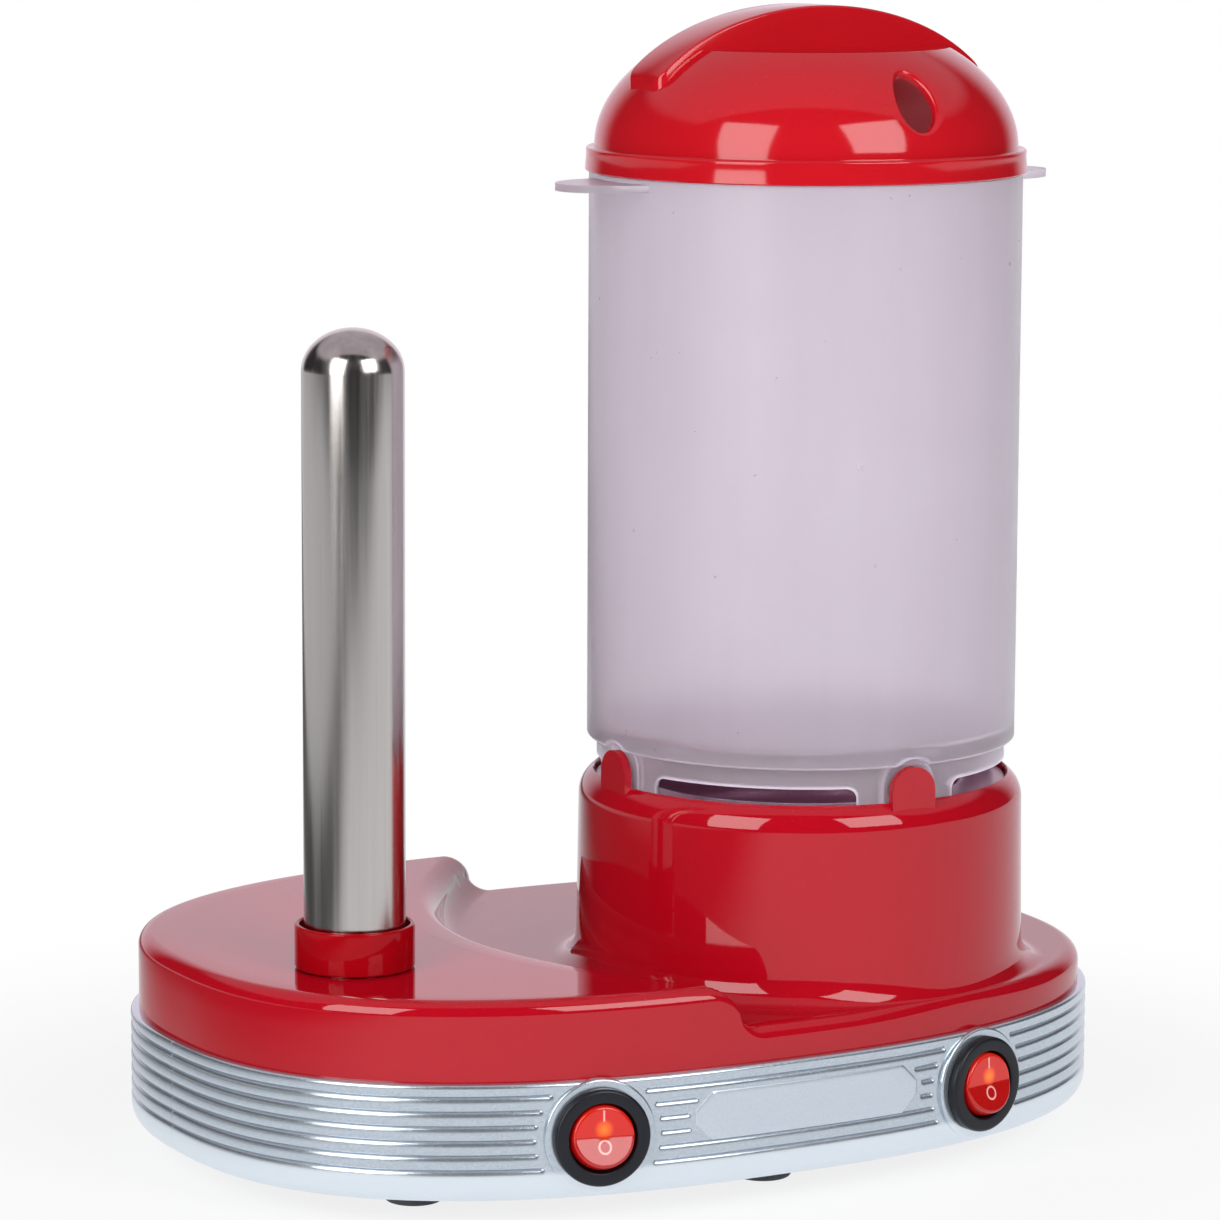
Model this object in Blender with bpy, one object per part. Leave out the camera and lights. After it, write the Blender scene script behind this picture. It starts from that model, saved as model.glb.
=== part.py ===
"""Hot dog maker: a heated bun spike and a steam container on one countertop base.

Metres, +Z up, +X towards the steamer, the switches face -Y, and the feet stand on Z = 0.
"""
import math

import bmesh
import bpy
import numpy as np
from mathutils import Matrix, Vector

# Fits
CLEARANCE = 0.0003
OVERRUN = 0.0010
RUNNING_GAP = 0.0004

# Base plan: a superellipse, and the heights of its two decks
HALF_LENGTH = 0.1184
HALF_WIDTH = 0.0842
PLAN_POWER = 2.47
COVER_WALL = 0.0026
DECK_HIGH = 0.0541
DECK_LOW = 0.0438
DECK_EDGE = 0.0035
STEP_APEX_X = -0.0419
STEP_APEX_Y = -0.0100
STEP_SPAN = 0.0720
STEP_SWEEP = 0.0275
STEP_POWER = 1.85
STEP_RAMP = 0.0105
STEP_ROUNDNESS = 1.7

# Silver band under the cover
BAND_TOP = 0.0352
BAND_FOOT = 0.0070
BAND_PROUD = 0.0020
BAND_WALL = 0.0025
RIB_PITCH = 0.00345
RIB_DEPTH = 0.0007
RIB_COUNT = 6
TOP_GROOVE_Z = 0.0322
FOOT_TURN_Z = 0.0140
PLATE_X_MIN = -0.0255
PLATE_X_MAX = 0.0350
PLATE_Z_MIN = 0.0186
PLATE_Z_MAX = 0.0302

# Steamer: pedestal, pan, container and lid
PEDESTAL_TOP = 0.0914
PEDESTAL_RADIUS = 0.0543
PEDESTAL_DRAFT = 0.0005
PEDESTAL_FROM_FRONT = 0.0049
PEDESTAL_FROM_END = 0.0254
PEDESTAL_SHOULDER = 0.0040
PEDESTAL_BORE = 0.0505
PAN_LEDGE = 0.0030
LUG_TOP = 0.0999
LUG_WIDTH = 0.0118
LUG_THICKNESS = 0.0019
LUG_RADIUS = 0.0525
PAN_METAL = 0.0013
PAN_BOWL_RADIUS = 0.0385
PAN_DEPTH = 0.0150
CONTAINER_RADIUS = 0.0523
CONTAINER_WALL = 0.0021
CONTAINER_RIM = 0.2415
RIM_HEIGHT = 0.0042
FLOOR_TOP = 0.1028
FLOOR_THICKNESS = 0.0028
SKIRT_RADIUS = 0.0499
SKIRT_WALL = 0.0022
WINDOW_TOP = 0.0951
WINDOW_HALF_ANGLE = math.radians(29.5)
NICHE_TOP = 0.1018
EAR_REACH = 0.0670
EAR_WIDTH = 0.0260
EAR_THICKNESS = 0.0018
LID_SKIRT_RADIUS = 0.0533
LID_RIDGE_ABOVE_RIM = 0.0020
LID_DOME_RADIUS = 0.0511
LID_DOME_HEIGHT = 0.0321
LID_WALL = 0.0020
LID_LEDGE_HEIGHT = 0.0238
FIN_WIDTH = 0.0160
FIN_PROUD = 0.0018
FIN_HALF_LENGTH = 0.0455
VENT_CENTRE_HEIGHT = 0.0132
VENT_SHIFT = 0.0019
VENT_HALF_WIDTH = 0.0050
VENT_HALF_HEIGHT = 0.0084
VENT_BEVEL = 0.0010

# Spike
SPIKE_FROM_END = 0.0349
SPIKE_RADIUS = 0.0120
SPIKE_METAL = 0.0009
SPIKE_TOP = 0.2050
SPIKE_TIP_HEIGHT = 0.0100
SPIKE_FLANGE = 0.0210
COLLAR_RADIUS = 0.0142
COLLAR_TOP = 0.0648

# Switches
SWITCH_X = (-0.0489, 0.0546)
SWITCH_Z = 0.0222
SWITCH_BOSS_RADIUS = 0.0134
SWITCH_BOSS_PROUD = 0.0026
BEZEL_RADIUS = 0.0115
BEZEL_THICKNESS = 0.0022
SWITCH_BODY_RADIUS = 0.0098
SWITCH_BODY_DEPTH = 0.0150
ROCKER_RADIUS = 0.0077
ROCKER_TILT = math.radians(10)

# Underside
FOOT_RADIUS = 0.0070
FOOT_HEIGHT = 0.0047
PLATE_THICKNESS = 0.0017
END_FOOT_INSET = (0.0431, 0.0453)
MIDDLE_FOOT_X = 0.0084
MIDDLE_FOOT_INSET = 0.0260
SCREW_BESIDE_SWITCH = 0.0103
LEFT_SCREW_INSET = 0.0307
RIGHT_SCREW_Y = 0.0260
BASE_BOSS_RADIUS = 0.0036
SCREW_RADIUS = 0.0012
SCREW_HEAD_RADIUS = 0.0026

# Cord entry
GLAND_FROM_END = 0.0199
GLAND_Z = 0.0165
GLAND_RADIUS = 0.0058
CORD_RADIUS = 0.0033

# How finely round pieces are drawn
AROUND_PLAN = 62
AROUND_LARGE = 42
AROUND_MEDIUM = 24
AROUND_SMALL = 8

# Places that follow from the sizes above: the spike keeps to the left end, the steamer to the right
TOWER_Y = PEDESTAL_RADIUS + PEDESTAL_DRAFT + PEDESTAL_FROM_FRONT - HALF_WIDTH
SPIKE_X = SPIKE_FROM_END - HALF_LENGTH
STEAMER_X = HALF_LENGTH - PEDESTAL_RADIUS - PEDESTAL_DRAFT - PEDESTAL_FROM_END
GLAND_X = GLAND_FROM_END - HALF_LENGTH
END_FOOT = (HALF_LENGTH - END_FOOT_INSET[0], HALF_WIDTH - END_FOOT_INSET[1])
MIDDLE_FOOT = (MIDDLE_FOOT_X, HALF_WIDTH - MIDDLE_FOOT_INSET)
FEET = ((-END_FOOT[0], END_FOOT[1]), MIDDLE_FOOT, END_FOOT)
LEFT_SCREW = (SWITCH_X[0] - SCREW_BESIDE_SWITCH, HALF_WIDTH - LEFT_SCREW_INSET)
RIGHT_SCREW = (STEAMER_X + PEDESTAL_RADIUS + PEDESTAL_DRAFT, RIGHT_SCREW_Y)
SCREW_PLACES = tuple((x, side * y) for x, y in (LEFT_SCREW, RIGHT_SCREW) for side in (-1, 1))

# Heights that follow from the sizes above
PLATE_TOP = BAND_FOOT - CLEARANCE
PLATE_FOOT = PLATE_TOP - PLATE_THICKNESS
COVER_FOOT = BAND_TOP + CLEARANCE
SWITCH_TOP = SWITCH_Z + SWITCH_BODY_RADIUS
PAN_SEAT = PEDESTAL_TOP - PAN_LEDGE
PAN_RIM_TOP = PAN_SEAT + CLEARANCE + PAN_METAL
SKIRT_FOOT = PAN_RIM_TOP + CLEARANCE
PAN_FLOOR = PAN_RIM_TOP - PAN_DEPTH
PAN_BOTTOM = PAN_FLOOR - PAN_METAL
CONTAINER_LEDGE = CONTAINER_RIM - RIM_HEIGHT
LID_FOOT = CONTAINER_LEDGE + CLEARANCE
LID_RIDGE_Z = CONTAINER_RIM + LID_RIDGE_ABOVE_RIM
LID_LEDGE_Z = LID_RIDGE_Z + LID_LEDGE_HEIGHT
VENT_CENTRE_Z = LID_RIDGE_Z + VENT_CENTRE_HEIGHT


def clear_scene():
    for old in list(bpy.data.objects):
        bpy.data.objects.remove(old, do_unlink=True)


def make_material(name, colour, roughness, metallic=0.0, transmission=0.0):
    material = bpy.data.materials.new(name)
    material.use_nodes = True
    shader = material.node_tree.nodes["Principled BSDF"]
    shader.inputs["Base Color"].default_value = (*colour, 1.0)
    shader.inputs["Roughness"].default_value = roughness
    shader.inputs["Metallic"].default_value = metallic
    shader.inputs["Transmission Weight"].default_value = transmission
    material.diffuse_color = (*colour, 1.0)
    return material


SMOOTH_ANGLE = math.radians(38)


def make_object(name, bm, material, origin=(0, 0, 0)):
    """Turn a bmesh in world places into an object whose origin is the given point."""
    bmesh.ops.recalc_face_normals(bm, faces=bm.faces)
    bmesh.ops.translate(bm, verts=bm.verts, vec=-Vector(origin))
    for edge in bm.edges:
        edge.smooth = edge.calc_face_angle(0.0) < SMOOTH_ANGLE
    for face in bm.faces:
        face.smooth = True
    mesh = bpy.data.meshes.new(name)
    bm.to_mesh(mesh)
    bm.free()
    obj = bpy.data.objects.new(name, mesh)
    obj.location = origin
    bpy.context.scene.collection.objects.link(obj)
    if material:
        mesh.materials.append(material)
    return obj


def boolean(obj, tool, operation):
    """Cut, join or intersect with another object, which stays in the file as a wire."""
    modifier = obj.modifiers.new(operation.title(), "BOOLEAN")
    modifier.operation = operation
    modifier.object = tool
    tool.hide_render = True
    tool.display_type = "WIRE"


def cut(obj, bm):
    boolean(obj, make_object(obj.name + "_cutter", bm, None), "DIFFERENCE")


def join(obj, bm):
    boolean(obj, make_object(obj.name + "_addition", bm, None), "UNION")


def loft(bm, rings, wrap=False):
    """Skin closed rings of equal count; wrap joins the last ring to the first, else both ends close."""
    rows = [[bm.verts.new(point) for point in ring] for ring in rings]
    pairs = list(zip(rows, rows[1:]))
    if wrap:
        pairs.append((rows[-1], rows[0]))
    else:
        bm.faces.new(rows[0])
        bm.faces.new(rows[-1])
    for lower, upper in pairs:
        for i in range(len(lower)):
            j = (i + 1) % len(lower)
            bm.faces.new((lower[i], lower[j], upper[j], upper[i]))
    return bm


def circle(radius, z, count, centre=(0, 0)):
    turns = [2 * math.pi * i / count for i in range(count)]
    return [Vector((centre[0] + radius * math.cos(t), centre[1] + radius * math.sin(t), z)) for t in turns]


def turned(profile, count, centre=(0, 0), wrap=False):
    """A solid of revolution about a vertical axis, from (radius, height) pairs."""
    return loft(bmesh.new(), [circle(radius, z, count, centre) for radius, z in profile], wrap)


def arc(centre, radius, start, end, steps):
    """Points (across, up) on an arc, angles in degrees, both ends included."""
    turns = [math.radians(start + (end - start) * i / steps) for i in range(steps + 1)]
    return [(centre[0] + radius * math.cos(t), centre[1] + radius * math.sin(t)) for t in turns]


def prism(outline, low, high, frame=None):
    """Extrude a flat outline of (x, y) from low to high, then place it by a matrix."""
    bm = loft(bmesh.new(), [[Vector((x, y, z)) for x, y in outline] for z in (low, high)])
    if frame:
        bm.transform(frame)
    return bm


def block(low, high):
    outline = ((low[0], low[1]), (high[0], low[1]), (high[0], high[1]), (low[0], high[1]))
    return prism(outline, low[2], high[2])


def merge(*parts):
    """Put several separate closed shapes into one bmesh."""
    whole = bmesh.new()
    for part in parts:
        mesh = bpy.data.meshes.new("shape")
        part.to_mesh(mesh)
        part.free()
        whole.from_mesh(mesh)
        bpy.data.meshes.remove(mesh)
    return whole


FINE_STEPS = 4001
STEP_CROWDING = 3


def plan_points(count):
    """Points of the cover's plan, each with its outward direction, crowded where the step meets the wall."""
    turn = np.linspace(0, 2 * math.pi, FINE_STEPS)
    power = 2 / PLAN_POWER
    x = HALF_LENGTH * np.sign(np.cos(turn)) * np.abs(np.cos(turn)) ** power
    y = HALF_WIDTH * np.sign(np.sin(turn)) * np.abs(np.sin(turn)) ** power
    crowd = [STEP_CROWDING if abs(a - step_line(b)[0]) < STEP_RAMP else 1 for a, b in zip(x[1:], y[1:])]
    along = np.concatenate(([0], np.cumsum(np.hypot(np.diff(x), np.diff(y)) * crowd)))
    at = np.arange(count) * along[-1] / count
    x, y = np.interp(at, along, x), np.interp(at, along, y)
    points = [Vector((float(a), float(b))) for a, b in zip(x, y)]
    return [(point, plan_normal(point)) for point in points]


def plan_normal(point):
    slope = PLAN_POWER - 1
    x = math.copysign(abs(point.x / HALF_LENGTH) ** slope / HALF_LENGTH, point.x)
    y = math.copysign(abs(point.y / HALF_WIDTH) ** slope / HALF_WIDTH, point.y)
    return Vector((x, y)).normalized()


def plan_at_x(x, side):
    """The plan's point at a given x, on the +Y or -Y side, with its outward direction."""
    y = side * HALF_WIDTH * (1 - abs(x / HALF_LENGTH) ** PLAN_POWER) ** (1 / PLAN_POWER)
    point = Vector((x, y))
    return point, plan_normal(point)


def plan_ring(points, offset, z):
    return [Vector((*(point + normal * offset), z)) for point, normal in points]


def step_line(y):
    """The middle line of the step between the decks: its x at a given y, and its slope there."""
    share = abs(y - STEP_APEX_Y) / STEP_SPAN
    slope = STEP_SWEEP * STEP_POWER * share ** (STEP_POWER - 1) / STEP_SPAN
    return STEP_APEX_X + STEP_SWEEP * share ** STEP_POWER, slope


def raised_share(x, y):
    """0 on the lower deck, 1 on the raised deck, and an S of two roundings across the step."""
    line, slope = step_line(y)
    beyond = (line - x) / math.hypot(1, slope) / STEP_RAMP * 2
    reach = 1 - min(abs(beyond), 1)
    rounding = (1 - reach ** STEP_ROUNDNESS) ** (1 / STEP_ROUNDNESS) / 2
    return 0.5 + math.copysign(rounding, beyond)


def deck_height(x, y):
    return DECK_LOW + (DECK_HIGH - DECK_LOW) * raised_share(x, y)


def edge_drop(inset):
    """How far the rounded deck edge lies below the deck, at a distance in from the wall."""
    reach = max(DECK_EDGE - inset, 0)
    return DECK_EDGE - math.sqrt(max(DECK_EDGE ** 2 - reach ** 2, 0))


INNER_EDGE_SHARE = 1.6
EDGE_ROOM_SHARE = 0.92
ROW_ROOM_SHARE = 0.08


class DeckRay:
    """One column of the cover: from the steamer's axis out to a point of the plan."""

    FLOOR_SHARE = 0.08
    RAMP_SHARES = (0, 0.25, 0.5, 0.75, 1)
    INSET_SHARES = (1, 0.5, 0.14)
    SCAN_STEPS = 300

    def __init__(self, point, normal):
        self.axis = Vector((STEAMER_X, TOWER_Y))
        self.point = point
        self.normal = normal
        self.way = (point - self.axis).normalized()
        self.length = (point - self.axis).length
        self.cosine = self.way.dot(normal)
        self.foot = PEDESTAL_RADIUS + PEDESTAL_DRAFT
        self.edge = self.length - min(DECK_EDGE / self.cosine, (self.length - self.foot) * EDGE_ROOM_SHARE)
        span = self.edge - self.foot
        toe = self.reach(0.001, self.edge - span * ROW_ROOM_SHARE * 2)
        self.toe = max(toe, self.foot + span * ROW_ROOM_SHARE)
        crest = self.reach(0.999, self.edge - span * ROW_ROOM_SHARE)
        self.crest = max(crest, self.toe + span * ROW_ROOM_SHARE)

    def reach(self, share, limit):
        """Distance along the column at which the deck has risen by a share, or the limit if sooner."""
        for i in range(self.SCAN_STEPS):
            distance = self.foot + (limit - self.foot) * i / self.SCAN_STEPS
            if raised_share(*(self.axis + self.way * distance)) > share:
                return distance
        return limit

    def place(self, distance, sink=0.0):
        x, y = self.axis + self.way * distance
        inset = max(self.length - distance, 0) * self.cosine
        return Vector((x, y, deck_height(x, y) - edge_drop(inset) - sink))

    def distances(self):
        floor = self.foot + (self.toe - self.foot) * self.FLOOR_SHARE
        ramp = [self.toe + (self.crest - self.toe) * share for share in self.RAMP_SHARES]
        return [floor] + ramp + [self.edge]

    def inner_distances(self):
        """The same along the underside, which follows the step more simply."""
        outermost = self.length - INNER_EDGE_SHARE * COVER_WALL
        return [min(distance, outermost) for distance in (self.toe, self.crest, self.edge)]


def cover_shell():
    """The moulded red shell: pedestal, two decks with a step, wall, tongue and underside."""
    rays = [DeckRay(point, normal) for point, normal in plan_points(AROUND_PLAN)]
    axis = Vector((STEAMER_X, TOWER_Y))
    inner_pedestal = PEDESTAL_RADIUS - COVER_WALL
    tongue_gap = BAND_WALL - BAND_PROUD + CLEARANCE
    tongue_foot = SWITCH_TOP + CLEARANCE + RUNNING_GAP
    ledge_under = PAN_SEAT - COVER_WALL

    def round_row(radius, z):
        return [Vector((*(axis + ray.way * radius), z)) for ray in rays]

    def wall_row(inset, z):
        return [Vector((*(ray.point - ray.normal * inset), z)) for ray in rays]

    def edge_row(share):
        rows = []
        for ray in rays:
            rows.append(ray.place(ray.length - (ray.length - ray.edge) * share))
        return rows

    shoulder = arc((PEDESTAL_RADIUS - PEDESTAL_SHOULDER, PEDESTAL_TOP - PEDESTAL_SHOULDER),
                   PEDESTAL_SHOULDER, 90, 0, 3)
    rows = [round_row(PEDESTAL_BORE, PAN_SEAT), round_row(PEDESTAL_BORE, PEDESTAL_TOP - CLEARANCE)]
    rows += [round_row(radius, z) for radius, z in shoulder]
    rows.append([Vector((*(axis + ray.way * ray.foot), ray.place(ray.foot).z + PEDESTAL_DRAFT))
                 for ray in rays])
    for i in range(len(rays[0].distances())):
        rows.append([ray.place(ray.distances()[i]) for ray in rays])
    rows += [edge_row(share) for share in DeckRay.INSET_SHARES[1:]]
    rows.append([Vector((*ray.point, deck_height(*ray.point) - DECK_EDGE)) for ray in rays])
    rows.append(wall_row(0, COVER_FOOT))
    rows.append(wall_row(tongue_gap, COVER_FOOT))
    rows.append(wall_row(tongue_gap, tongue_foot))
    rows.append(wall_row(COVER_WALL, tongue_foot))
    rows.append([Vector((*(ray.point - ray.normal * COVER_WALL),
                         deck_height(*ray.point) - COVER_WALL - edge_drop(COVER_WALL))) for ray in rays])
    inner = [[ray.place(ray.inner_distances()[i], COVER_WALL) for ray in rays]
             for i in range(len(rays[0].inner_distances()))]
    rows += inner[::-1][1:]
    rows.append(round_row(inner_pedestal, DECK_LOW - COVER_WALL))
    rows.append(round_row(inner_pedestal, ledge_under))
    rows.append(round_row(PEDESTAL_BORE - PAN_LEDGE, ledge_under))
    rows.append(round_row(PEDESTAL_BORE - PAN_LEDGE, PAN_SEAT))
    return loft(bmesh.new(), rows, wrap=True)


def arch(width, low, high):
    """An outline (across, up) with a round top."""
    radius = width / 2
    crown = arc((0, high - radius), radius, 0, 180, 8)
    return [(radius, low)] + crown + [(-radius, low)]


def facing(turn, radius, centre=(STEAMER_X, TOWER_Y)):
    """Matrix that stands an (across, up) outline on a tangent plane, its depth pointing outwards."""
    outward = Vector((math.cos(turn), math.sin(turn), 0))
    across = Vector((-math.sin(turn), math.cos(turn), 0))
    up = Vector((0, 0, 1))
    place = Vector((*centre, 0)) + outward * radius
    return Matrix.Translation(place) @ Matrix((across, up, outward)).transposed().to_4x4()


def quarter_turns():
    return [math.pi / 2 * i for i in range(4)]


def lug(turn):
    foot = PEDESTAL_TOP - PEDESTAL_SHOULDER + CLEARANCE * 2
    return prism(arch(LUG_WIDTH, foot, LUG_TOP), -LUG_THICKNESS, 0, facing(turn, LUG_RADIUS))


def base_boss(place):
    x, y = place
    top = deck_height(x, y) - COVER_WALL / 2
    return turned([(BASE_BOSS_RADIUS, PLATE_TOP + CLEARANCE), (BASE_BOSS_RADIUS, top)], AROUND_SMALL, place)


def spike_screw_places():
    turns = [math.radians(30 + 120 * i) for i in range(3)]
    reach = (SPIKE_RADIUS + SPIKE_FLANGE) / 2 + SPIKE_METAL / 2
    return [(SPIKE_X + reach * math.cos(t), TOWER_Y + reach * math.sin(t)) for t in turns]


SPIKE_BOSS_LENGTH = 0.0050
SPIKE_BOSS_RADIUS = 0.0034
THREAD_DEPTH = 0.0055


def spike_boss(place):
    top = DECK_HIGH - COVER_WALL
    return turned([(SPIKE_BOSS_RADIUS, top - SPIKE_BOSS_LENGTH), (SPIKE_BOSS_RADIUS, top + COVER_WALL / 2)],
                  AROUND_SMALL, place)


def bore(place, radius, low, high, count=AROUND_SMALL):
    return turned([(radius, low), (radius, high)], count, place)


BASE_SCREW_BITE = 0.0080


def top_cover(material):
    cover = make_object("top_cover", cover_shell(), material)
    join(cover, merge(*[lug(turn) for turn in quarter_turns()]))
    bosses = [base_boss(place) for place in SCREW_PLACES]
    bosses += [spike_boss(place) for place in spike_screw_places()]
    boss_object = make_object("top_cover_bosses", merge(*bosses), None)
    boolean(cover, boss_object, "UNION")
    hole = SCREW_RADIUS + CLEARANCE
    low = PLATE_TOP - OVERRUN
    spike_low = DECK_HIGH - COVER_WALL - SPIKE_BOSS_LENGTH - OVERRUN
    holes = [bore(place, hole, low, low + OVERRUN + BASE_SCREW_BITE + OVERRUN) for place in SCREW_PLACES]
    for place in spike_screw_places():
        holes.append(bore(place, hole, spike_low, spike_low + OVERRUN + THREAD_DEPTH))
    holes.append(bore((SPIKE_X, TOWER_Y), SPIKE_RADIUS + CLEARANCE, DECK_HIGH - COVER_WALL - OVERRUN,
                      DECK_HIGH + OVERRUN, AROUND_MEDIUM))
    cut(cover, merge(*holes))
    return cover


GROOVE_SHARE = 0.45
FOOT_ROLL = 0.0043
LIP_REACH = 0.0135
LIP_THICKNESS = 0.0020
BOSS_ROOT = 0.00036


def band_offset(z, x, y):
    """How far the band's outer face stands out from the plan, at a height and place."""
    if PLATE_Z_MIN < z < PLATE_Z_MAX and PLATE_X_MIN < x < PLATE_X_MAX and y < 0:
        return BAND_PROUD - RIB_DEPTH / 2
    return None


def band_heights():
    """Pairs (height, offset) up the band's outer face: rolled foot, ribs, rounded top."""
    bottom_groove = TOP_GROOVE_Z - RIB_PITCH * (RIB_COUNT - 1)
    half = RIB_PITCH * GROOVE_SHARE / 2
    rows = [(BAND_FOOT, BAND_PROUD - FOOT_ROLL), (BAND_FOOT + FOOT_ROLL / 3, BAND_PROUD - FOOT_ROLL / 3)]
    for i in range(RIB_COUNT):
        z = bottom_groove + RIB_PITCH * i
        rows += [(z - half, BAND_PROUD), (z, BAND_PROUD - RIB_DEPTH), (z + half, BAND_PROUD)]
    rows.append((BAND_TOP, BAND_PROUD - RIB_DEPTH))
    return rows


CORD_NECK = 0.0044


def base_housing(material):
    points = plan_points(AROUND_PLAN)
    inner = BAND_PROUD - BAND_WALL
    rows = [plan_ring(points, -LIP_REACH, BAND_FOOT)]
    for z, offset in band_heights():
        row = []
        for point, normal in points:
            smooth = band_offset(z, point.x, point.y)
            row.append(Vector((*(point + normal * (offset if smooth is None else smooth)), z)))
        rows.append(row)
    rows.append(plan_ring(points, inner, BAND_TOP))
    rows.append(plan_ring(points, inner, FOOT_TURN_Z))
    rows.append(plan_ring(points, inner - FOOT_ROLL, BAND_FOOT + LIP_THICKNESS))
    rows.append(plan_ring(points, -LIP_REACH, BAND_FOOT + LIP_THICKNESS))
    housing = make_object("base_housing", loft(bmesh.new(), rows, wrap=True), material)
    pads = []
    holes = []
    for x in SWITCH_X:
        frame = switch_frame(x)
        pad = [(SWITCH_BOSS_RADIUS, BOSS_ROOT), (SWITCH_BOSS_RADIUS, SWITCH_BOSS_PROUD)]
        pads.append(placed(turned(pad, AROUND_MEDIUM), frame))
        holes.append(placed(turned([(SWITCH_BODY_RADIUS + CLEARANCE, inner - COVER_WALL),
                                    (SWITCH_BODY_RADIUS + CLEARANCE, SWITCH_BOSS_PROUD + OVERRUN)],
                                   AROUND_MEDIUM), frame))
    neck = [(CORD_NECK + CLEARANCE, -GLAND_SEAT - OVERRUN), (CORD_NECK + CLEARANCE, BAND_PROUD + OVERRUN)]
    holes.append(placed(turned(neck, AROUND_MEDIUM), gland_frame()))
    join(housing, merge(*pads))
    cut(housing, merge(*holes))
    return housing


def placed(bm, frame):
    bm.transform(frame)
    return bm


def outward_frame(point, normal, z):
    """Matrix with +Z along the wall's outward direction, +Y up and its origin on the plan."""
    outward = Vector((normal.x, normal.y, 0))
    up = Vector((0, 0, 1))
    across = up.cross(outward)
    turn = Matrix((across, up, outward)).transposed().to_4x4()
    return Matrix.Translation((point.x, point.y, z)) @ turn


def switch_frame(x):
    point, normal = plan_at_x(x, -1)
    return outward_frame(point, normal, SWITCH_Z)


def gland_frame():
    point, normal = plan_at_x(GLAND_X, 1)
    return outward_frame(point, normal, GLAND_Z)


AROUND_PLATE = 36
PLATE_LAP = 0.0025
FOOT_STEM = 0.0021
FOOT_BARB = 0.0030


def base_plate(material):
    points = plan_points(AROUND_PLATE)
    edge = -(LIP_REACH - PLATE_LAP)
    rows = [plan_ring(points, edge, PLATE_FOOT), plan_ring(points, edge, PLATE_TOP)]
    plate = make_object("base_plate", loft(bmesh.new(), rows), material)
    low, high = PLATE_FOOT - OVERRUN, PLATE_TOP + OVERRUN
    holes = [bore(place, SCREW_RADIUS + CLEARANCE, low, high) for place in SCREW_PLACES]
    holes += [bore(place, FOOT_STEM + CLEARANCE, low, high) for place in foot_places()]
    cut(plate, merge(*holes))
    return plate


def foot_places():
    return [(x, side * y) for x, y in FEET for side in (-1, 1)]


def feet(material):
    """Rubber feet, each pushed through a hole of the plate and held by a barb."""
    top = PLATE_FOOT - CLEARANCE
    grip = PLATE_TOP + CLEARANCE
    edge = FOOT_STEM / 3
    profile = [(FOOT_RADIUS - edge, 0), (FOOT_RADIUS, edge), (FOOT_RADIUS, top - edge),
               (FOOT_RADIUS - edge, top), (FOOT_STEM, top), (FOOT_STEM, grip), (FOOT_BARB, grip),
               (FOOT_STEM / 2, grip + FOOT_STEM)]
    for number, place in enumerate(foot_places(), 1):
        make_object(f"foot_{number}", turned(profile, 10, place), material, (*place, 0))


SCREW_HEAD_HEIGHT = 0.0018


def screw(name, place, head_low, head_high, tip, material):
    """A pan-head screw pointing up, its head seated under what it holds."""
    profile = [(SCREW_HEAD_RADIUS - SCREW_RADIUS / 2, head_low), (SCREW_HEAD_RADIUS, head_high),
               (SCREW_RADIUS, head_high), (SCREW_RADIUS, tip - SCREW_RADIUS), (SCREW_RADIUS / 3, tip)]
    make_object(name, turned(profile, AROUND_SMALL, place), material, (*place, head_high))


def base_screws(material):
    head = PLATE_FOOT - CLEARANCE
    tip = PLATE_TOP + BASE_SCREW_BITE
    for number, place in enumerate(SCREW_PLACES, 1):
        screw(f"base_screw_{number}", place, head - SCREW_HEAD_HEIGHT, head, tip, material)


def spike_tube(material):
    """A drawn steel tube with a rounded closed tip and a mounting flange under the deck."""
    seat = spike_flange_top()
    straight = SPIKE_TOP - SPIKE_TIP_HEIGHT
    inner = SPIKE_RADIUS - SPIKE_METAL
    outside = [(SPIKE_RADIUS * math.cos(t), straight + SPIKE_TIP_HEIGHT * math.sin(t))
               for t in (math.radians(a) for a in (0, 25, 48, 68, 83))]
    inside = [(inner * math.cos(t), straight + (SPIKE_TIP_HEIGHT - SPIKE_METAL) * math.sin(t))
              for t in (math.radians(a) for a in (83, 60, 32, 0))]
    profile = [(SPIKE_FLANGE, seat - SPIKE_METAL), (SPIKE_FLANGE, seat), (SPIKE_RADIUS, seat)] + outside
    bm = bmesh.new()
    rings = [circle(radius, z, AROUND_MEDIUM, (SPIKE_X, TOWER_Y)) for radius, z in profile]
    rings_in = [circle(radius, z, AROUND_MEDIUM, (SPIKE_X, TOWER_Y)) for radius, z in inside]
    rings_in.append(circle(inner, seat - SPIKE_METAL, AROUND_MEDIUM, (SPIKE_X, TOWER_Y)))
    skin_with_tip(bm, rings, rings_in)
    tube = make_object("spike_tube", bm, material, (SPIKE_X, TOWER_Y, seat))
    holes = [bore(place, SCREW_RADIUS + CLEARANCE, seat - SPIKE_METAL - OVERRUN, seat + OVERRUN)
             for place in spike_screw_places()]
    cut(tube, merge(*holes))
    return tube


def skin_with_tip(bm, outer, inner):
    """Skin a cup: up the outside, closed by a cap, and down the inside under its own cap."""
    rows = [[bm.verts.new(point) for point in ring] for ring in outer]
    rows_in = [[bm.verts.new(point) for point in ring] for ring in inner]
    bm.faces.new(rows[-1])
    bm.faces.new(rows_in[0])
    pairs = list(zip(rows, rows[1:])) + list(zip(rows_in, rows_in[1:])) + [(rows_in[-1], rows[0])]
    for lower, upper in pairs:
        for i in range(len(lower)):
            j = (i + 1) % len(lower)
            bm.faces.new((lower[i], lower[j], upper[j], upper[i]))


def spike_flange_top():
    return DECK_HIGH - COVER_WALL - SPIKE_BOSS_LENGTH - CLEARANCE


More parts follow.
